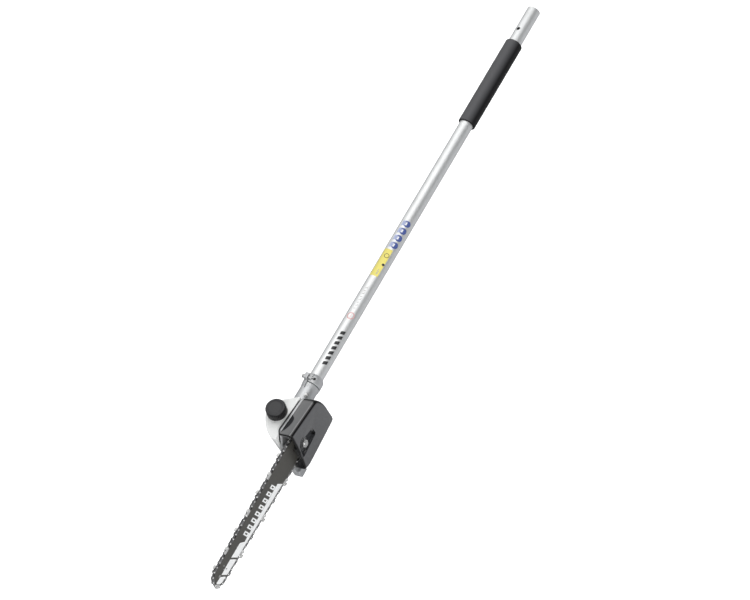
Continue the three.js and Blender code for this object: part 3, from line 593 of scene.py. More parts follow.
def foam():
    made = Finish("foam rubber", (0.004, 0.004, 0.0045), 0.45, 0.0, Specular_IOR_Level=0.18)
    cells = made.tree.nodes.new("ShaderNodeTexVoronoi")
    cells.inputs["Scale"].default_value = 850.0
    place = made.tree.nodes.new("ShaderNodeTexCoord")
    made.tree.links.new(place.outputs["Object"], cells.inputs["Vector"])
    grain = made.use(GRAIN, Scale=1300.0)
    made.tint(cells.outputs["Distance"], (0.012, 0.012, 0.013), 0.8)
    # Painted light: the foam's up-facing side is tinted lighter grey, as if lit from above.
    made.tint(made.use(DUST_AND_TOP_LIGHT)["Upward"], (0.135, 0.135, 0.142), 0.8)
    made.rough(grain["Fine"], 0.36, 0.55)
    made.bump(cells.outputs["Distance"], 0.25, 0.5)
    made.bump(grain["Broad"], 0.4, 0.3)
    return made.done()


def tank_plastic():
    made = Finish(
        "translucent tank plastic", (0.90, 0.91, 0.90), 0.34, 0.0,
        Subsurface_Weight=0.45, Subsurface_Scale=0.004,
    )
    made.shader.inputs["Subsurface Radius"].default_value = (1, 1, 1)
    grain = made.use(GRAIN, Scale=420.0)
    made.tint(grain["Broad"], (0.84, 0.85, 0.83), 0.4)
    made.tint(made.use(DUST_AND_TOP_LIGHT, Amount=0.15)["Mask"], (0.70, 0.69, 0.65))
    made.rough(grain["Fine"], 0.30, 0.50)
    made.bump(grain["Fine"], 0.05, 0.35)
    return made.done()


def moulded_black(name, tone, roughness, fine=1100.0, depth=0.06):
    made = Finish(name, (tone, tone, tone * 1.06), roughness, 0.0, Specular_IOR_Level=0.25)
    grain = made.use(GRAIN, Scale=fine)
    made.tint(grain["Broad"], (tone * 1.7,) * 3, 0.5)
    # Painted light: up-facing surfaces are tinted a little lighter, as if lit from above.
    made.tint(made.use(DUST_AND_TOP_LIGHT)["Upward"], (0.055, 0.055, 0.058), 0.8)
    made.tint(made.use(WEAR, Amount=0.35)["Mask"], (0.05, 0.05, 0.052))
    made.tint(made.use(DUST_AND_TOP_LIGHT, Amount=0.2)["Mask"], (0.05, 0.05, 0.048))
    made.rough(grain["Fine"], roughness - 0.06, roughness + 0.12)
    made.bump(grain["Fine"], depth, 0.45)
    return made.done()


def gloss_black():
    made = Finish(
        "gloss black moulding", (0.030, 0.031, 0.034), 0.14, 0.0,
        Coat_Roughness=0.05, Coat_IOR=2.2, IOR=1.25,
    )
    grain = made.use(GRAIN, Scale=300.0)
    made.tint(grain["Broad"], (0.046, 0.048, 0.052), 0.6)
    made.tint(made.use(DUST_AND_TOP_LIGHT, Amount=0.10)["Mask"], (0.12, 0.12, 0.115))
    # Painted dark reflection: the rounded edges are tinted near black and lose most of their coat, so they
    # look like black reflections.
    made.tint(made.use(PAINTED_DARK_EDGES)["Mask"], (0.003, 0.003, 0.003))
    made.run("Coat Weight", made.use(PAINTED_DARK_EDGES)["Mask"], 1.0, 0.12)
    made.rough(grain["Broad"], 0.10, 0.20)
    made.bump(grain["Broad"], 0.05, 0.18)
    return made.done()


def bar_paint():
    made = Finish("bar paint", (0.070, 0.068, 0.060), 0.38, 0.25, Coat_Weight=0.2, Coat_Roughness=0.3)
    grain = made.use(GRAIN, Scale=600.0)
    lines = made.use(DRAWN, Scale=80.0)
    made.tint(grain["Broad"], (0.10, 0.097, 0.088), 0.6)
    made.tint(made.use(WEAR, Amount=0.9)["Mask"], (0.50, 0.50, 0.49))
    made.rough(lines["Lines"], 0.30, 0.55)
    made.bump(grain["Fine"], 0.05, 0.4)
    return made.done()


def printed(name, colour, roughness=0.4):
    """A flat printed colour with a little rubbing in it."""
    made = Finish(name, colour, roughness)
    grain = made.use(GRAIN, Scale=900.0)
    made.tint(grain["Broad"], tuple(c * 0.82 for c in colour), 0.5)
    made.rough(grain["Fine"], roughness - 0.08, roughness + 0.12)
    made.bump(grain["Fine"], 0.02, 0.3)
    return made.done()


def oiled_chain():
    made = Finish("oiled chain steel", (0.36, 0.36, 0.365), 0.30, 1.0)
    grain = made.use(GRAIN, Scale=1200.0)
    made.tint(grain["Broad"], (0.09, 0.088, 0.086), 0.9)
    made.tint(made.use(WEAR, Amount=1.0)["Mask"], (0.62, 0.62, 0.61))
    made.rough(grain["Fine"], 0.22, 0.5)
    made.bump(grain["Fine"], 0.05, 0.5)
    return made.done()


def sintered_bronze():
    made = Finish("sintered bronze", (0.50, 0.34, 0.16), 0.45, 1.0)
    grain = made.use(GRAIN, Scale=1600.0)
    made.tint(grain["Broad"], (0.36, 0.24, 0.12), 0.7)
    made.bump(grain["Fine"], 0.04, 0.5)
    return made.done()


POLE_FINISH = drawn_aluminium()
CAST_FINISH = cast_aluminium()
PLATED = plated_steel()
MACHINED = plated_steel("machined steel", 0.42, 0.32)
OXIDE = plated_steel("black oxide steel", 0.05, 0.4)
CUTTER_STEEL = plated_steel("chromed cutter steel", 0.84, 0.26)
FOAM = foam()
TANK = tank_plastic()
CAP_BLACK = moulded_black("satin black moulding", 0.006, 0.30)
SEAL_BLACK = moulded_black("seal rubber", 0.016, 0.62, 900.0, 0.08)
GLOSS = gloss_black()
BAR = bar_paint()
CHAIN = oiled_chain()
NYLON = printed("natural nylon", (0.72, 0.68, 0.58), 0.45)
BRONZE = sintered_bronze()
WHITE_PRINT = printed("white print", (0.97, 0.98, 0.98))
DARK_PRINT = printed("dark print", (0.03, 0.03, 0.032))
YELLOW_PRINT = printed("yellow print", (0.96, 0.84, 0.20))
BLUE_PRINT = printed("blue print", (0.08, 0.12, 0.36))
PALE_BLUE_PRINT = printed("pale blue print", (0.50, 0.56, 0.80))
RED_PRINT = printed("pale red print", (0.78, 0.42, 0.42))
GREY_PRINT = printed("grey print", (0.50, 0.49, 0.47))


# ---- Camera -----------------------------------------------------------------------------------------

CAMERA_AIM = Vector((151.5, -58.9, 40.8))
CAMERA_DISTANCE = 5577.0
CAMERA_AZIMUTH = math.radians(-35.34)
CAMERA_ELEVATION = math.radians(44.19)
CAMERA_ROLL = math.radians(-33.12)
CAMERA_LENS = 156.0


def make_camera():
    a, e = CAMERA_AZIMUTH, CAMERA_ELEVATION
    back = Vector((math.sin(a) * math.cos(e), -math.cos(a) * math.cos(e), math.sin(e)))
    level = Vector((0, 0, 1)).cross(back).normalized()
    upright = back.cross(level)
    right = level * math.cos(CAMERA_ROLL) + upright * math.sin(CAMERA_ROLL)
    up = back.cross(right)
    place = (DATUM + CAMERA_AIM + back * CAMERA_DISTANCE) * MM
    data = bpy.data.cameras.new("camera")
    data.lens = CAMERA_LENS
    data.sensor_width = 36.0
    data.clip_start, data.clip_end = 0.1, 60.0
    camera = bpy.data.objects.new("camera", data)
    bpy.context.scene.collection.objects.link(camera)
    turn = Matrix((right, up, back)).transposed().to_4x4()
    camera.matrix_world = Matrix.Translation(place) @ turn
    bpy.context.scene.camera = camera


# ---- Pole, grip and printed marks -------------------------------------------------------------------

def make_pole():
    bore = POLE_R - POLE_WALL
    e = 0.35
    start, end = span("pole_tube")[0].x, COUPLING_X
    profile = [
        (bore, start), (POLE_R - e, start), (POLE_R, start + e), (POLE_R, end - e), (POLE_R - e, end),
        (bore + e, end), (bore, end - e), (bore, start + e),
    ]
    tube = turned(profile, "X", 128)
    hole = rod("Z", LOCK_HOLE_R, 0, 2 * POLE_R, (end - LOCK_HOLE_INSET, 0, 0), 48)
    deliver(carved(tube, hole), "pole", POLE_FINISH, "head_and_pole", ["pole_tube"])


def make_sleeve():
    low, high = span("grip_sleeve")
    outer, bore = high.z, POLE_R + 0.3
    e = 2.4
    profile = [(bore, low.x)]
    for i in range(9):
        turn = i / 8 * math.pi / 2
        profile.append((outer - e + e * math.sin(turn), low.x + e - e * math.cos(turn)))
    for i in range(1, 24):
        swell = 0.10 * math.sin(i * 1.9) - 0.10
        profile.append((outer + swell, low.x + e + (high.x - low.x - 2 * e) * i / 24))
    for i in range(9):
        turn = math.pi / 2 - i / 8 * math.pi / 2
        profile.append((outer - e + e * math.sin(turn), high.x - e + e * math.cos(turn)))
    profile.append((bore, high.x))
    deliver(turned(profile, "X", 96), "foam_grip", FOAM, "head_and_pole", ["grip_sleeve"], angle=60)


def on_pole(x, arc, lift):
    """The point on the pole at x and an arc length from its top towards the cover, lifted off the metal."""
    turn = arc / POLE_R
    r = POLE_R + lift
    return (x, -r * math.sin(turn), r * math.cos(turn))


def mark(name, rows, finish, lift=0.06):
    """A thin printed mark on the pole, from rows of (x, arc) points."""
    under = [[on_pole(x, s, 0.01) for x, s in row] for row in rows]
    over = [[on_pole(x, s, lift) for x, s in row] for row in rows]
    count, last = len(rows[0]), len(rows) - 1
    points = [p for grid in (over, under) for row in grid for p in row]
    faces = []
    size = count * len(rows)
    for k in range(last):
        for i in range(count - 1):
            a = k * count + i
            faces.append((a, a + 1, a + 1 + count, a + count))
            b = a + size
            faces.append((b + count, b + 1 + count, b + 1, b))
    for i in range(count - 1):
        faces.append((i + size, i + 1 + size, i + 1, i))
        a = last * count + i
        faces.append((a, a + 1, a + 1 + size, a + size))
    for k in range(last):
        a, b = k * count, (k + 1) * count
        faces.append((a, b, b + size, a + size))
        a, b = a + count - 1, b + count - 1
        faces.append((a + size, b + size, b, a))
    made = outward(form(points, faces))
    deliver(made, name, finish, "head_and_pole")


def slanted(x0, x1, arc0, arc1, lean, steps=8):
    """Rows of a leaning four-sided patch."""
    rows = []
    for k in range(steps + 1):
        arc = arc0 + (arc1 - arc0) * k / steps
        shift = lean * (k / steps - 0.5)
        rows.append([(x0 + shift, arc), ((x0 + x1) / 2 + shift, arc), (x1 + shift, arc)])
    return rows


def round_patch(x, arc, radius, hole=0.0, steps=40):
    rows = []
    for r in (hole or radius * 0.02, (hole + radius) / 2, radius):
        ring = [(x + r * math.cos(2 * math.pi * i / steps), arc + r * math.sin(2 * math.pi * i / steps))
                for i in range(steps + 1)]
        rows.append(ring)
    return rows


# Places of the printed marks along the pole, from the collar's upper end.
MAKER_MARKS = (24.0, 100.0)
MAKER_STROKES = 7
RING_X = 128.4
GREY_MARKS_X, GREY_MARK_PITCH = 144.0, 6.4
YELLOW_PATCH = (217.0, 276.0)
BLUE_DOTS_X, BLUE_DOT_PITCH = 286.5, 16.0


def make_marks():
    """Generic printed marks. Their places round the pole are in degrees from its top, towards the cover."""
    arc = POLE_R * math.radians(1)
    pitch = (MAKER_MARKS[1] - MAKER_MARKS[0]) / MAKER_STROKES
    for i in range(MAKER_STROKES):
        x = MAKER_MARKS[0] + pitch * i
        mark(f"maker_stroke_{i + 1}", slanted(x, x + pitch * 0.62, 22 * arc, 58 * arc, 3.4), DARK_PRINT)
    mark("red_ring", round_patch(RING_X, 24 * arc, 7.0, 5.2), RED_PRINT)
    mark("red_ring_bar", slanted(RING_X - 3.8, RING_X + 3.8, 22.5 * arc, 26.5 * arc, 6.0, 3), RED_PRINT)
    for i in range(8):
        x = GREY_MARKS_X + GREY_MARK_PITCH * i
        mark(f"grey_mark_{i + 1}", slanted(x, x + 1.3, 10 * arc, 26 * arc, 1.8, 4), GREY_PRINT)
        if i % 2:
            mark(f"grey_mark_foot_{i + 1}", slanted(x, x + 4.2, 24 * arc, 27 * arc, 0.0, 2), GREY_PRINT)
    start, end = YELLOW_PATCH
    mark("yellow_patch", slanted(start, end, -24 * arc, 50 * arc, 0.0, 16), YELLOW_PRINT)
    mark("yellow_patch_dot", round_patch(start + 26, 40 * arc, 2.6), DARK_PRINT, 0.10)
    mark("yellow_patch_ring", round_patch(end - 14, 27 * arc, 4.6, 3.6), DARK_PRINT, 0.10)
    for i, length in enumerate((11, 8)):
        line = slanted(start + 4, start + 4 + length, (24 + 8 * i) * arc, (28 + 8 * i) * arc, 0.0, 2)
        mark(f"yellow_patch_line_{i + 1}", line, GREY_PRINT, 0.10)
    for i in range(4):
        x = BLUE_DOTS_X + BLUE_DOT_PITCH * i
        mark(f"pale_blue_patch_{i + 1}", slanted(x - 5, x + 5.5, -4 * arc, 30 * arc, 2.0, 8), PALE_BLUE_PRINT)
        mark(f"blue_dot_{i + 1}", round_patch(x, 40 * arc, 6.4), BLUE_PRINT, 0.10)
        mark(f"blue_dot_bar_{i + 1}", slanted(x - 3, x + 3, 26 * arc, 38 * arc, 0.0, 4), WHITE_PRINT, 0.14)


# ---- Gear case --------------------------------------------------------------------------------------

def collar_form():
    profile = [
        (0, SPROCKET_X + 10), (NECK_R, SPROCKET_X + 10), (NECK_R - 0.5, -COLLAR_LENGTH - 10),
        (COLLAR_R, -COLLAR_LENGTH), (COLLAR_R, -7), (COLLAR_R - 0.9, -3.6), (COLLAR_R - 2.8, -1),
        (COLLAR_R - 3.4, 0), (0, 0),
    ]
    return turned(profile, "X", 96)


def make_gear_case():
    flange_corners = shifted(COVER_CORNERS[:3], SPROCKET_X) + [
        (SPROCKET_X - 52, 41, 3), (FLANGE_END_X, 15, 8), (FLANGE_END_X, -37, 6),
    ]
    fin = [
        (FIN_X, -40, 4), (FIN_X, -30, 3), (FLANGE_END_X, -30, 6),
        (FOOT_X, FOOT_TOP, 5), (FOOT_X, FOOT_BOTTOM, 4), (FOOT_X + 18, FOOT_BOTTOM, 8),
    ]
    foot_spots = [(18, FOOT_BOTTOM), (18, FOOT_TOP), (0, FOOT_TOP), (0, FOOT_BOTTOM)]
    foot = [(FOOT_X + a, z, 3) for a, z in foot_spots]
    pad = [(PAD_END_X, -15.5, 4), (BAR_TAIL_X - 1, -14.5, 3), (BAR_TAIL_X - 1, 13, 3), (PAD_END_X, 13, 6)]
    body = fused(
        plate(rounded(flange_corners), FLANGE_BACK, FLANGE_FRONT),
        rod("Y", BOX_R, FLANGE_BACK - 1, BOX_BACK, (SPROCKET_X, 0, 0)),
        collar_form(),
        block(SPROCKET_X + 12, SPROCKET_X + 30, FLANGE_BACK - 1, 0, -2.5, 2.5),
        block(SPROCKET_X - 54, SPROCKET_X, FLANGE_BACK - 1, -8, -2.5, 2.5),
        rod("Y", 16, FLANGE_FRONT - 3, FLANGE_BACK, (SPROCKET_X, 0, 0)),
        plate(rounded(fin), FLANGE_BACK + 3, FLANGE_FRONT),
        plate(rounded(foot), FLANGE_BACK + 3, PAD_FRONT - 2),
        plate(rounded(pad), FLANGE_BACK, PAD_FRONT),
        block(CLAMP_X - 6, CLAMP_X + 6, 0.1, 9, POLE_R, CLAMP_Z + 5),
        block(CLAMP_X - 5, CLAMP_X + 5, -7, -0.1, POLE_R, CLAMP_Z + 3.4),
    )
    tool_reach = 60
    index = rod("Z", 2.5, 8, 30, (CLAMP_X, 0, 0), 32)
    index.data.transform(Matrix.Rotation(INDEX_SCREW_LEAN, 4, "X"))
    plug = rod("Z", 2.8, 10, 40, (PLUG_X, 0, 0), 32)
    plug.data.transform(Matrix.Rotation(PLUG_LEAN, 4, "X"))
    carved(
        body,
        rod("X", POLE_R + 0.3, -POLE_IN_COLLAR - 0.3, 10),
        rod("X", 11, SPROCKET_X, 0),
        rod("Y", BOX_R - 3.2, -15, BOX_BACK + 10, (SPROCKET_X, 0, 0)),
        rod("Y", 13, -24.2, -14, (SPROCKET_X, 0, 0)),
        rod("Y", 11, -tool_reach, -23, (SPROCKET_X, 0, 0)),
        block(-COLLAR_LENGTH - 13, 5, -CLAMP_SPLIT, CLAMP_SPLIT, 5, 40),
        block(-COLLAR_LENGTH - 1.4, -COLLAR_LENGTH, -30, 0, -9, 40),
        rod("Y", 5.0, 9, 40, (CLAMP_X, 0, CLAMP_Z), 48),
        rod("Y", 2.8, -30, 30, (CLAMP_X, 0, CLAMP_Z), 32),
        rod("Y", STUD_HOLE_R, -tool_reach, FLANGE_FRONT + 1.6, (STUD_X, 0, 0), 48),
        block(PAD_END_X + 4, BAR_TAIL_X - 4, -tool_reach, -29, -14.1, -6.9),
        rod("X", 2.1, PAD_END_X - 5, PAD_END_X + 6, (0, -31.75, -TENSIONER_Z), 32),
        index,
        plug,
    )
    cast_over(body, 0.62, 3, 0.45)
    deliver(body, "gear_case_casting", CAST_FINISH, "head_and_pole", ["gear_case"], angle=50)


def make_case_cap():
    low, high = span("gear_case_cap")
    r = (high.x - low.x) / 2
    y0, y1 = low.y, high.y
    profile = [
        (0, y0), (r, y0), (r, y1 - 0.8), (r - 0.8, y1), (r - 10.5, y1), (r - 11.3, y1 - 0.8),
        (r - 13.2, y1 - 0.8), (r - 14, y1), (0, y1),
    ]
    cap = turned(profile, "Y", 96, (SPROCKET_X, 0, 0))
    deliver(cap, "gear_case_back_cap", CAST_FINISH, "head_and_pole", ["gear_case_cap"])
    for i in range(3):
        node = f"cap_screw_{i + 1}"
        low, high = span(node)
        centre = (low + high) / 2
        r = (high.x - low.x) / 2
        screw = socket_screw(r, low.y, high.y, centre.x, centre.z)
        deliver(screw, f"back_cap_screw_{i + 1}", MACHINED, "head_and_pole", [node])


def socket_screw(r, y0, y1, x, z):
    """A socket head screw's head standing along +Y."""
    e = 0.35
    profile = [(0, y0), (r - 0.2, y0), (r, y0 + 0.2), (r, y1 - e), (r - e, y1), (0, y1)]
    head = turned(profile, "Y", 48, (x, 0, z))
    return carved(head, rod("Y", r * 0.5, y1 - 1.4, y1 + 1, (x, 0, z), 6))


# ---- Collar screws and plug -------------------------------------------------------------------------

def hex_head(axis, width, start, end, at, crown=0.5):
    """A hexagon head whose outer corners are turned off."""
    corner_r = width / math.sqrt(3)
    prism = rod(axis, corner_r, start, end, at, 6)
    flat_r = width / 2
    step = crown if end > start else -crown
    rim_r, low = corner_r + 1, start - step
    cone = [(0, low), (rim_r, low), (rim_r, end - step * 1.6), (flat_r - 0.2, end), (0, end)]
    return combine(prism, [turned(cone, axis, 48, at)], "INTERSECT")


def make_collar_fittings():
    low, high = span("clamp_screw")
    at = (CLAMP_X, 0, CLAMP_Z)
    head = hex_head("Y", 7.3, 9.3, high.y, at)
    carved(head, rod("Y", 1.7, high.y - 2, high.y + 1, at, 6))
    shank = rod("Y", 2.5, low.y, 10, at, 48, 0.4)
    deliver(fused(head, shank), "collar_clamp_screw", PLATED, "head_and_pole", ["clamp_screw"])

    screw = rod("Z", 2.2, POLE_R + 0.6, COLLAR_R - 1.6, (CLAMP_X, 0, 0), 32, 0.3)
    carved(screw, rod("Z", 1.2, COLLAR_R - 3.2, COLLAR_R + 1, (CLAMP_X, 0, 0), 6))
    screw.data.transform(Matrix.Rotation(INDEX_SCREW_LEAN, 4, "X"))
    deliver(screw, "collar_index_screw", OXIDE, "head_and_pole", ["index_screw"])

    at = (PLUG_X, 0, 0)
    plug = hex_head("Z", 7.6, NECK_R + 0.3, NECK_R + 3, at)
    fused(plug, rod("Z", 2.5, 12, NECK_R + 1, at, 32))
    plug.data.transform(Matrix.Rotation(PLUG_LEAN, 4, "X"))
    deliver(plug, "grease_filler_plug", PLATED, "head_and_pole", ["grease_plug"])


# ---- Oil tank and cap -------------------------------------------------------------------------------

TANK_CORNERS = [
    (-56, 3, 10), (-30, 20, 12), (-12, 18, 10), (6, 6, 8), (18, -13, 6), (23, TANK_FRONT, 1.5),
    (-68, TANK_FRONT, 1.5), (-68, -12, 6),
]


def tank_block(d):
    """The tank's plan made solid up to its sloping top, both moved in by d."""
    corners = [(a + SPROCKET_X, b, r) for a, b, r in reversed(TANK_CORNERS)]
    outline = rounded(inset(corners, d) if d else corners)
    column = loft([[(p.x, p.y, z) for p in outline] for z in (TANK_BOTTOM + d, 90)])
    sky = block(-400, 400, -200, 200, 0, 100)
    sky.data.transform(Matrix.Translation((0, 0, TANK_TOP - d)) @ Matrix.Rotation(TANK_SLOPE, 4, "X"))
    return carved(column, sky)


def tank_reliefs(d):
    return [
        rod("Y", BOX_R + 0.8 + d, -60, 60, (SPROCKET_X, 0, 0)),
        block(SPROCKET_X, 40, -60, 60, -60, NECK_R + 3 + d),
        block(SPROCKET_X - 60, SPROCKET_X, -60, -8 + 0.3 + d, -2.8 - d, 2.8 + d),
    ]


def at_filler(made):
    made.data.transform(Matrix.Translation((FILLER_X, 0, TANK_TOP)) @ Matrix.Rotation(TANK_SLOPE, 4, "X"))
    return made


def make_tank():
    outer = carved(tank_block(0), *tank_reliefs(0.3))
    fused(outer, at_filler(rod("Z", FILLER_R + 2.4, -TANK_WALL, FILLER_HEIGHT)))
    hollow = carved(tank_block(TANK_WALL), *tank_reliefs(0.3 + TANK_WALL))
    carved(outer, hollow, at_filler(rod("Z", FILLER_R, -12, FILLER_HEIGHT + 5)))
    cast_over(outer, 0.75, 5, 0.6)
    deliver(outer, "chain_oil_tank", TANK, "head_and_pole", ["oil_tank"], angle=60)


def make_tank_seal():
    corners = [(-64, -18, 2), (20, -18, 2), (20, 20, 6), (18, 33, 8), (-51, 40.5, 3), (-64, 22, 6)]
    seal = plate(rounded(inset(shifted(corners, SPROCKET_X), -0.9)), FLANGE_BACK + 0.1, TANK_FRONT - 0.2)
    carved(
        seal,
        rod("Y", BOX_R + 0.5, -60, 60, (SPROCKET_X, 0, 0)),
        block(SPROCKET_X + 8, SPROCKET_X + 60, -60, 60, -60, 3.2),
        block(SPROCKET_X - 80, SPROCKET_X, -60, 60, -60, 3.2),
    )
    deliver(eased(seal, 0.4), "tank_flange_seal", SEAL_BLACK, "head_and_pole", ["tank_gasket"])


def make_cap():
    bottom = FILLER_HEIGHT - 2.6
    top = bottom + CAP_HEIGHT
    sides = CAP_RIBS * 8

    def ring(radius, height, ribs):
        points = []
        for i in range(sides):
            turn = 2 * math.pi * i / sides
            wave = 0.5 + 0.5 * math.cos(turn * CAP_RIBS)
            r = radius - ribs * (1 - min(1.0, wave * 1.7))
            points.append((r * math.cos(turn), r * math.sin(turn), height))
        return points

    skirt = [ring(FILLER_R + 2.7, bottom, 0), ring(CAP_R - 0.9, bottom, 0), ring(CAP_R, bottom + 0.7, 0.8)]
    skirt += [ring(CAP_R, top - 3.2, 0.9), ring(CAP_R - 0.1, top - 2.4, 0.7)]
    for i in range(1, 7):
        turn = i / 6 * math.pi / 2
        over, up = 2.4 * math.cos(turn), 2.4 * math.sin(turn)
        skirt.append(ring(CAP_R - 2.6 + over, top - 2.4 + up, 0.5 * (1 - i / 6)))
    skirt += [ring(CAP_R - 4.2, top, 0), ring(CAP_R - 4.9, top - 0.5, 0), ring(CAP_R - 7, top - 1.0, 0)]
    skirt += [ring(CAP_R - 12, top - 0.75, 0), ring(0.3, top - 0.6, 0)]
    shell = loft([[Vector(p) for p in r] for r in skirt])
    well = turned([
        (FILLER_R - 1.5, bottom - 1), (FILLER_R + 2.7, bottom - 1), (FILLER_R + 2.7, FILLER_HEIGHT + 2.4),
        (FILLER_R - 1.5, FILLER_HEIGHT + 2.4),
    ], "Z", 96)
    carved(shell, well)
    fused(shell, rod("Z", FILLER_R - 0.3, -5, FILLER_HEIGHT, (0, 0, 0), 96, 0.6))
    deliver(at_filler(shell), "chain_oil_cap", CAP_BLACK, "oil_cap", ["oil_cap"], angle=40)


# ---- Guide bar --------------------------------------------------------------------------------------

def belt(circles, d, step=3.0):
    """The closed outline of a belt round circles (x, r) on the X axis, each moved out by d."""
    turns = [math.acos((r - r0) / (x0 - x)) for (x0, r0), (x, r) in zip(circles, circles[1:])]
    last = len(circles) - 1
    points = []

    def arc(x, r, start, end):
        count = max(1, math.ceil(math.degrees(end - start) / step))
        for k in range(count + 1):
            turn = start + (end - start) * k / count
            points.append(Vector((x + (r + d) * math.cos(turn), (r + d) * math.sin(turn))))

    for i, (x, r) in enumerate(circles):
        arc(x, r, 0 if i == 0 else turns[i - 1], math.pi if i == last else turns[i])
    for i in range(last, -1, -1):
        x, r = circles[i]
        start = math.pi if i == last else 2 * math.pi - turns[i]
        arc(x, r, start, 2 * math.pi if i == 0 else 2 * math.pi - turns[i - 1])
    tidy = [points[0]]
    for p in points[1:]:
        if (p - tidy[-1]).length > 1e-4:
            tidy.append(p)
    if (tidy[0] - tidy[-1]).length < 1e-4:
        tidy.pop()
    return tidy


BAR_CIRCLES = [(BAR_TAIL_X - BAR_TAIL_R + 4, BAR_TAIL_R), (BAR_ROOT_X, BAR_ROOT_R), (NOSE_X, NOSE_R)]
CHAIN_CIRCLES = [(SPROCKET_X, CHAIN_SPROCKET_R), (BAR_ROOT_X, BAR_ROOT_R), (NOSE_X, NOSE_R)]


def band(outer, inner, back, front):
    """A flat ring between two outlines with the same number of points."""
    lines = ((outer, back), (outer, front), (inner, front), (inner, back))
    return loft([[(p.x, y, p.y) for p in line] for line, y in lines], closed=False)


def cut_off(outline, x):
    """An outline without what lies beyond x."""
    kept = []
    for i, here in enumerate(outline):
        before = outline[i - 1]
        if (before.x > x) != (here.x > x):
            kept.append(before.lerp(here, (x - before.x) / (here.x - before.x)))
        if here.x <= x:
            kept.append(here)
    return kept


def make_bar():
    bar = plate(cut_off(belt(BAR_CIRCLES, 0), BAR_TAIL_X), BAR_BACK, BAR_FRONT)
    groove = band(belt(BAR_CIRCLES, 3), belt(BAR_CIRCLES, -6), BAR_Y + 0.9, BAR_Y - 0.9)
    r = STUD_HOLE_R
    slot_start, slot_end = STUD_X + 12 + r, STUD_X - 16 - r
    slot = [(slot_start, -r, r), (slot_start, r, r), (slot_end, r, r), (slot_end, -r, r)]
    pin_x = middle("tensioner_block").x
    carved(
        bar, groove, plate(rounded(slot), -30, -50),
        rod("Y", 2.8, -50, -30, (pin_x, 0, -TENSIONER_Z), 48),
        rod("Y", 2.8, -50, -30, (pin_x, 0, TENSIONER_Z), 48),
        rod("Y", 1.2, -50, -30, (SPROCKET_X - 33, 0, 14.5), 32),
        rod("Y", NOSE_R - 4.3, BAR_Y - 0.9, BAR_Y + 0.9, (NOSE_X, 0, 0), 64),
    )
    fused(bar, rod("Y", 3.2, BAR_FRONT + 0.2, BAR_BACK - 0.2, (NOSE_X, 0, 0), 48))
    eased(bar, 0.35, 2, 40)
    deliver(bar, "guide_bar_plate", BAR, "guide_bar", ["guide_bar"])

    rivets = []
    for k in range(3):
        turn = math.radians(60 + 120 * k)
        rivets.append((NOSE_X + 17 + 3.2 * math.cos(turn), 5.2 * math.sin(turn)))
    heads = []
    for x, z in rivets + [(NOSE_X, 0.0)]:
        r = 1.5 if z else 2.6
        for face, way in ((BAR_FRONT, -1), (BAR_BACK, 1)):
            y0, y1 = sorted((face - way * 0.15, face + way * 0.12))
            heads.append(rod("Y", r, y0, y1, (x, 0, z), 40, 0.08))
    deliver(gathered(heads), "bar_nose_rivets", MACHINED, "guide_bar")


PRINT_INSET = 0.45


def lower_edge(x):
    """The bar's lower edge, a little inside the rail."""
    share = (BAR_ROOT_X - x) / (BAR_ROOT_X - NOSE_X)
    return PRINT_INSET - (BAR_ROOT_R + (NOSE_R - BAR_ROOT_R) * share)


def print_panel(name, outline, finish=None, proud=0.05):
    made = plate([Vector(p) for p in outline], BAR_FRONT + 0.02, BAR_FRONT - proud)
    deliver(made, name, finish or WHITE_PRINT, "guide_bar")


# The print on the bar, in millimetres from PRINT_X towards the pole.
PRINT_X = -406.0
NARROW_BAND = (203.0, 77.0)
STROKE_ROW = (189.0, 81.0)
PRINT_STROKES = 8
NOSE_BAND_STEPS = 12


def make_bar_print():
    def foot(out):
        return (PRINT_X + out, lower_edge(PRINT_X + out))

    def top(out, z):
        return (PRINT_X + out, z)

    start, end = NARROW_BAND
    narrow = [foot(start), top(start - 7.8, -7.0), top(end, -9.6)]
    print_panel("white_band_1", narrow + [top(end - 8.1, -0.9), top(38.8, -0.5), foot(48.6)])
    print_panel("white_band_2", [foot(44.8), top(35.0, -0.5), top(4.4, -1.7), foot(12.6)])
    nose = [foot(8.8), top(0.4, -1.9)]
    for k in range(NOSE_BAND_STEPS + 1):
        turn = math.radians(187 + (270 - 187) * k / NOSE_BAND_STEPS)
        nose.append((NOSE_X + (NOSE_R - 0.7) * math.cos(turn), (NOSE_R - 0.7) * math.sin(turn)))
    print_panel("white_band_nose", nose)
    pitch = (STROKE_ROW[0] - STROKE_ROW[1]) / PRINT_STROKES
    for i in range(PRINT_STROKES):
        x = PRINT_X + STROKE_ROW[0] - pitch * i
        low, high = -6.6 - 0.35 * i, 5.0 - 0.2 * i
        print_panel(f"white_stroke_{i + 1}", [(x, low), (x - 3.6, high), (x - 11.4, high), (x - 7.8, low)])
        heart = [(x - 3.6, low + 3.4), (x - 4.9, high - 3.2), (x - 7.9, high - 3.2), (x - 6.6, low + 3.4)]
        print_panel(f"dark_stroke_{i + 1}", heart, BAR, 0.09)


# ---- Saw chain --------------------------------------------------------------------------------------

RIVET_HEIGHT = 2.9
CHAIN_PITCH = 19.05
STRAP_R = 2.45
STRAP_IN, STRAP_OUT = 0.66, 1.95
RIVET_R = 1.45
CUTTER_REACH = 3.5


class Route:
    """The line that the rivets follow, walked by length."""

    def __init__(self, points):
        self.points = points + [points[0]]
        self.lengths = [0.0]
        for a, b in zip(self.points, self.points[1:]):
            self.lengths.append(self.lengths[-1] + (b - a).length)

    def at(self, length):
        length %= self.lengths[-1]
        low, high = 0, len(self.lengths) - 1
        while high - low > 1:
            mid = (low + high) // 2
            low, high = (mid, high) if self.lengths[mid] <= length else (low, mid)
        share = (length - self.lengths[low]) / (self.lengths[high] - self.lengths[low])
        return self.points[low].lerp(self.points[high], share)


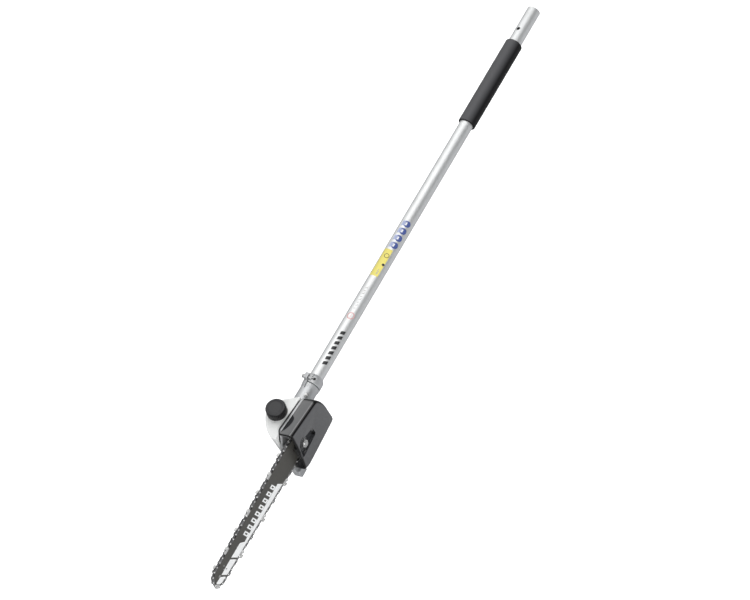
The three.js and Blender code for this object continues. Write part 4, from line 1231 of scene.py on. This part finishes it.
def spots(*pairs):
    return [Vector(pair) for pair in pairs]


def fan(centre, radius, start, end, steps=8):
    return [Vector((centre[0] + radius * math.cos(math.radians(start + (end - start) * k / steps)),
                    centre[1] + radius * math.sin(math.radians(start + (end - start) * k / steps))))
            for k in range(steps + 1)]


def strap_outline(half):
    waist = spots((half * 0.3, STRAP_R * 0.72), (-half * 0.3, STRAP_R * 0.72))
    base = spots((-half, -STRAP_R), (half, -STRAP_R))
    return fan((half, 0), STRAP_R, -60, 118) + waist + fan((-half, 0), STRAP_R, 62, 240) + base


def drive_outline(half, tang):
    top = fan((half, 0), 2.0, -50, 110, 6) + spots((0, 2.5)) + fan((-half, 0), 2.0, 70, 230, 6)
    return top + spots((-2.6, -2.4), (-1.2, -2.4 - tang), (1.5, -2.4 - tang * 0.9), (3.4, -2.6))


def tooth_side_outline(half):
    """Side plate of a cutter: strap below, the tooth behind and the depth gauge in front."""
    low = spots((-half - 1.6, -STRAP_R), (half + 1.6, -STRAP_R))
    gauge = spots((half + 2.4, 0.5), (half + 2.2, 2.6), (half + 0.9, 4.1), (half - 1.3, 4.3))
    gullet = spots((half - 2.2, 2.9), (half - 3.4, 1.6), (1.0, 1.9))
    tooth = spots((0.1, 3.2), (0.6, 5.0), (-half - 1.7, 4.1), (-half - 2.4, 1.0))
    return low + gauge + gullet + tooth


def link_form(outline, inner, outer, middle_point, along, way=1):
    """A link plate standing in Y from inner to outer, placed on the chain."""
    out = Vector((along.y, -along.x))
    rings = []
    for w in (inner, outer):
        ring = []
        for p in outline:
            flat = middle_point + along * p.x + out * p.y
            ring.append((flat.x, BAR_Y + way * w, flat.y))
        rings.append(ring)
    return loft(rings)


def make_chain():
    route = Route(belt(CHAIN_CIRCLES, RIVET_HEIGHT, 2.0))
    cutter_line = Route(belt(CHAIN_CIRCLES, 4.4, 2.0))
    links = round(cutter_line.lengths[-1] / CHAIN_PITCH)
    rivets = 2 * links
    step = route.lengths[-1] / rivets
    plates, cutters, pins = [], [], []
    for k in range(rivets):
        here = route.at(step * (k + 0.5))
        after = route.at(step * (k + 1.5))
        along = (after - here).normalized()
        centre = (here + after) / 2
        half = (after - here).length / 2
        for way in (-1, 1):
            pin = rod("Y", RIVET_R, 0, STRAP_OUT + 0.45, (here.x, 0, here.y), 14, 0.3)
            pin.data.transform(Matrix.Translation((0, BAR_Y, 0)) @ Matrix.Scale(way, 4, (0, 1, 0)))
            pins.append(outward(pin))
        if k % 2:
            near_sprocket = (centre - Vector((SPROCKET_X, 0))).length < 26
            tang = 0.2 if near_sprocket else 3.7
            plates.append(link_form(drive_outline(half, tang), -0.55, 0.55, centre, along))
            continue
        is_cutter = (k // 2) % 2 == 0
        side = 1 if (k // 4) % 2 else -1
        for way in (-1, 1):
            if is_cutter and way == side:
                cutters.append(link_form(tooth_side_outline(half), STRAP_IN, STRAP_OUT, centre, along, way))
                top = spots((0.8, 4.2), (0.6, 5.25), (-half - 1.6, 4.3), (-half - 1.6, 3.5))
                cutters.append(link_form(top, -1.2, CUTTER_REACH, centre, along, way))
            else:
                plates.append(link_form(strap_outline(half), STRAP_IN, STRAP_OUT, centre, along, way))
    chain = eased(gathered(plates), 0.16, 1, 40)
    deliver(chain, "chain_links", CHAIN, "guide_bar", ["saw_chain"])
    teeth = eased(gathered(cutters), 0.12, 1, 40)
    deliver(teeth, "chain_cutters", CUTTER_STEEL, "guide_bar")
    deliver(gathered(pins), "chain_rivets", CUTTER_STEEL, "guide_bar")


# ---- Bar nut and sprocket cover ---------------------------------------------------------------------

def threaded(axis, radius, start, end, at, pitch=1.25, sides=48):
    """A threaded rod, its thread as close rings."""
    profile = [(0, start), (radius - 0.9, start)]
    place = start + 0.7
    while place + pitch < end:
        profile += [(radius - 0.05, place), (radius - 0.7, place + pitch / 2)]
        place += pitch
    profile += [(radius - 0.7, end), (0, end)]
    return turned(profile, axis, sides, at)


def make_bar_nut():
    low, high = span("bar_nut")
    nut = hex_head("Y", 13.0, high.y, low.y, (STUD_X, 0, 0), 0.7)
    carved(nut, rod("Y", STUD_HOLE_R, -90, 0, (STUD_X, 0, 0), 64))
    deliver(nut, "bar_clamp_nut", PLATED, "bar_nut", ["bar_nut"])

    low, high = span("nut_washer")
    r = (high.x - low.x) / 2
    e = 0.3
    rim = [(r - e, low.y), (r, low.y + e), (r, high.y - e), (r - e, high.y)]
    washer = turned([(STUD_HOLE_R, low.y)] + rim + [(STUD_HOLE_R, high.y)], "Y", 64, (STUD_X, 0, 0))
    deliver(washer, "bar_nut_washer", PLATED, "nut_washer", ["nut_washer"])

    low, high = span("bar_stud")
    stud = threaded("Y", 4.0, low.y, high.y, (STUD_X, 0, 0))
    deliver(stud, "bar_clamp_stud", PLATED, "head_and_pole", ["bar_stud"])


def make_cover():
    corners = shifted(COVER_CORNERS, SPROCKET_X)
    shell = soft_plate(corners, COVER_BACK, COVER_FRONT, COVER_EDGE)
    inner = inset(corners, COVER_WALL)
    inner = [(a - 14, b, r) if 3 <= i <= 5 else (a, b, r) for i, (a, b, r) in enumerate(inner)]
    carved(shell, plate(rounded(inner), COVER_BACK + 20, COVER_FRONT + COVER_WALL))
    pocket = shifted(POCKET_CORNERS, SPROCKET_X)
    wall = plate(rounded(inset(pocket, -COVER_WALL)), POCKET_FLOOR + COVER_WALL, COVER_FRONT + 1)
    boss = rod("Y", 11, COVER_FRONT + 5, BAR_FRONT - 0.3, (STUD_X, 0, 0))
    fused(shell, wall, boss)
    stud_hole = rod("Y", STUD_HOLE_R, -90, 0, (STUD_X, 0, 0), 64)
    carved(shell, plate(rounded(pocket), POCKET_FLOOR, COVER_FRONT - 5), stud_hole)
    eased(shell, 0.5, 3, 42)
    deliver(shell, "sprocket_cover_shell", GLOSS, "sprocket_cover", ["sprocket_cover"], angle=40)


def make_nut_arcs():
    """Two raised arcs on the cover beside the nut's pocket."""
    for k, radius in enumerate((11.2, 14.0)):
        centre = (STUD_X, 0)
        outline = fan(centre, radius + 0.7, 75, 185, 24) + fan(centre, radius - 0.7, 185, 75, 24)
        arc = eased(plate(outline, COVER_FRONT + 0.5, COVER_FRONT - 0.8), 0.3)
        deliver(arc, f"cover_nut_arc_{k + 1}", GLOSS, "sprocket_cover")


# ---- Pieces that keep their CAD shape ---------------------------------------------------------------

REFINED = [
    ("inner_bar_plate", PLATED, "head_and_pole", 0.15),
    ("output_shaft", MACHINED, "output_shaft", 0.25),
    ("drive_sprocket", MACHINED, "output_shaft", 0.4),
    ("sprocket_washer", PLATED, "output_shaft", 0.2),
    ("sprocket_clip", MACHINED, "output_shaft", 0.15),
    ("tension_screw", MACHINED, "tension_screw", 0.2),
    ("tensioner_block", MACHINED, "guide_bar", 0.15),
    ("nose_sprocket", MACHINED, "nose_sprocket", 0.1),
    ("output_seal", SEAL_BLACK, "head_and_pole", 0.3),
    ("shaft_end_fitting", PLATED, "drive_shaft", 0.3),
    ("cap_seal", SEAL_BLACK, "cap_seal", 0.2),
]

HIDDEN = {
    "drive_shaft": MACHINED, "bevel_pinion": MACHINED, "bevel_gear": MACHINED, "pump_worm": MACHINED,
    "pump_plunger": MACHINED, "bearing_spacer": MACHINED, "bearing_clip": MACHINED,
    "input_bearing_1": PLATED, "input_bearing_2": PLATED, "rear_bearing": PLATED, "front_bearing": PLATED,
    "oil_filter": PLATED, "pump_body": BRONZE, "pickup_hose": SEAL_BLACK,
    "shaft_bush_1": NYLON, "shaft_bush_2": NYLON, "shaft_bush_3": NYLON, "shaft_bush_4": NYLON,
}


def make_refined():
    for node, finish, body, width in REFINED:
        deliver(eased(cad_form(node), width, 2, 30), f"{node}_finished", finish, body, [node])
    for node, finish in HIDDEN.items():
        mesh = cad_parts[node].data
        mesh.materials.clear()
        mesh.materials.append(finish)


# ---- Room -------------------------------------------------------------------------------------------

def make_floor():
    size = 6.0
    corners = [(-size, -size, 0), (size, -size, 0), (size, size, 0), (-size, size, 0)]
    mesh = bpy.data.meshes.new("floor")
    mesh.from_pydata(corners, [], [(0, 1, 2, 3)])
    floor = bpy.data.objects.new("floor", mesh)
    bpy.context.scene.collection.objects.link(floor)
    floor.location.z = cad_low.z - 0.0005
    pale = Finish("pale floor", (0.62, 0.62, 0.63), 0.9, 0.0, Emission_Strength=1.0)
    seen = pale.tree.nodes.new("ShaderNodeLightPath")
    pale.tree.links.new(seen.outputs["Is Camera Ray"], pale.shader.inputs["Emission Color"])
    mesh.materials.append(pale.done())


def soft_light(name, place, aim, width, height, watts):
    data = bpy.data.lights.new(name, "AREA")
    data.shape = "RECTANGLE"
    data.size, data.size_y = width, height
    data.energy = watts
    lamp = bpy.data.objects.new(name, data)
    bpy.context.scene.collection.objects.link(lamp)
    lamp.location = place
    lamp.rotation_mode = "QUATERNION"
    lamp.rotation_quaternion = (Vector(place) - Vector(aim)).to_track_quat("Z", "Y")


# Name, place and aim in metres, width and height in metres, and watts.
LIGHTS = [
    ("overhead", (0.9, -0.1, 2.6), (0, 0, 0), 3.4, 2.4, 42),
    ("far side", (1.3, 2.2, 1.5), (0, 0, 0), 3.6, 1.8, 13),
    ("near side", (-2.4, -2.3, 1.5), (-0.3, 0, 0), 2.0, 1.8, 78),
]


def make_room():
    make_floor()
    for light in LIGHTS:
        soft_light(*light)
    world = bpy.data.worlds.new("studio")
    world.use_nodes = True
    sky = world.node_tree.nodes["Background"].inputs
    sky["Color"].default_value = (0.96, 0.98, 1.0, 1)
    sky["Strength"].default_value = 0.24
    bpy.context.scene.world = world
    bpy.context.scene.view_settings.view_transform = "Standard"


# ---- All together -----------------------------------------------------------------------------------

make_camera()
make_room()
make_pole()
make_sleeve()
make_marks()
make_gear_case()
make_case_cap()
make_collar_fittings()
make_tank()
make_tank_seal()
make_cap()
make_bar()
make_bar_print()
make_chain()
make_bar_nut()
make_cover()
make_nut_arcs()
make_refined()
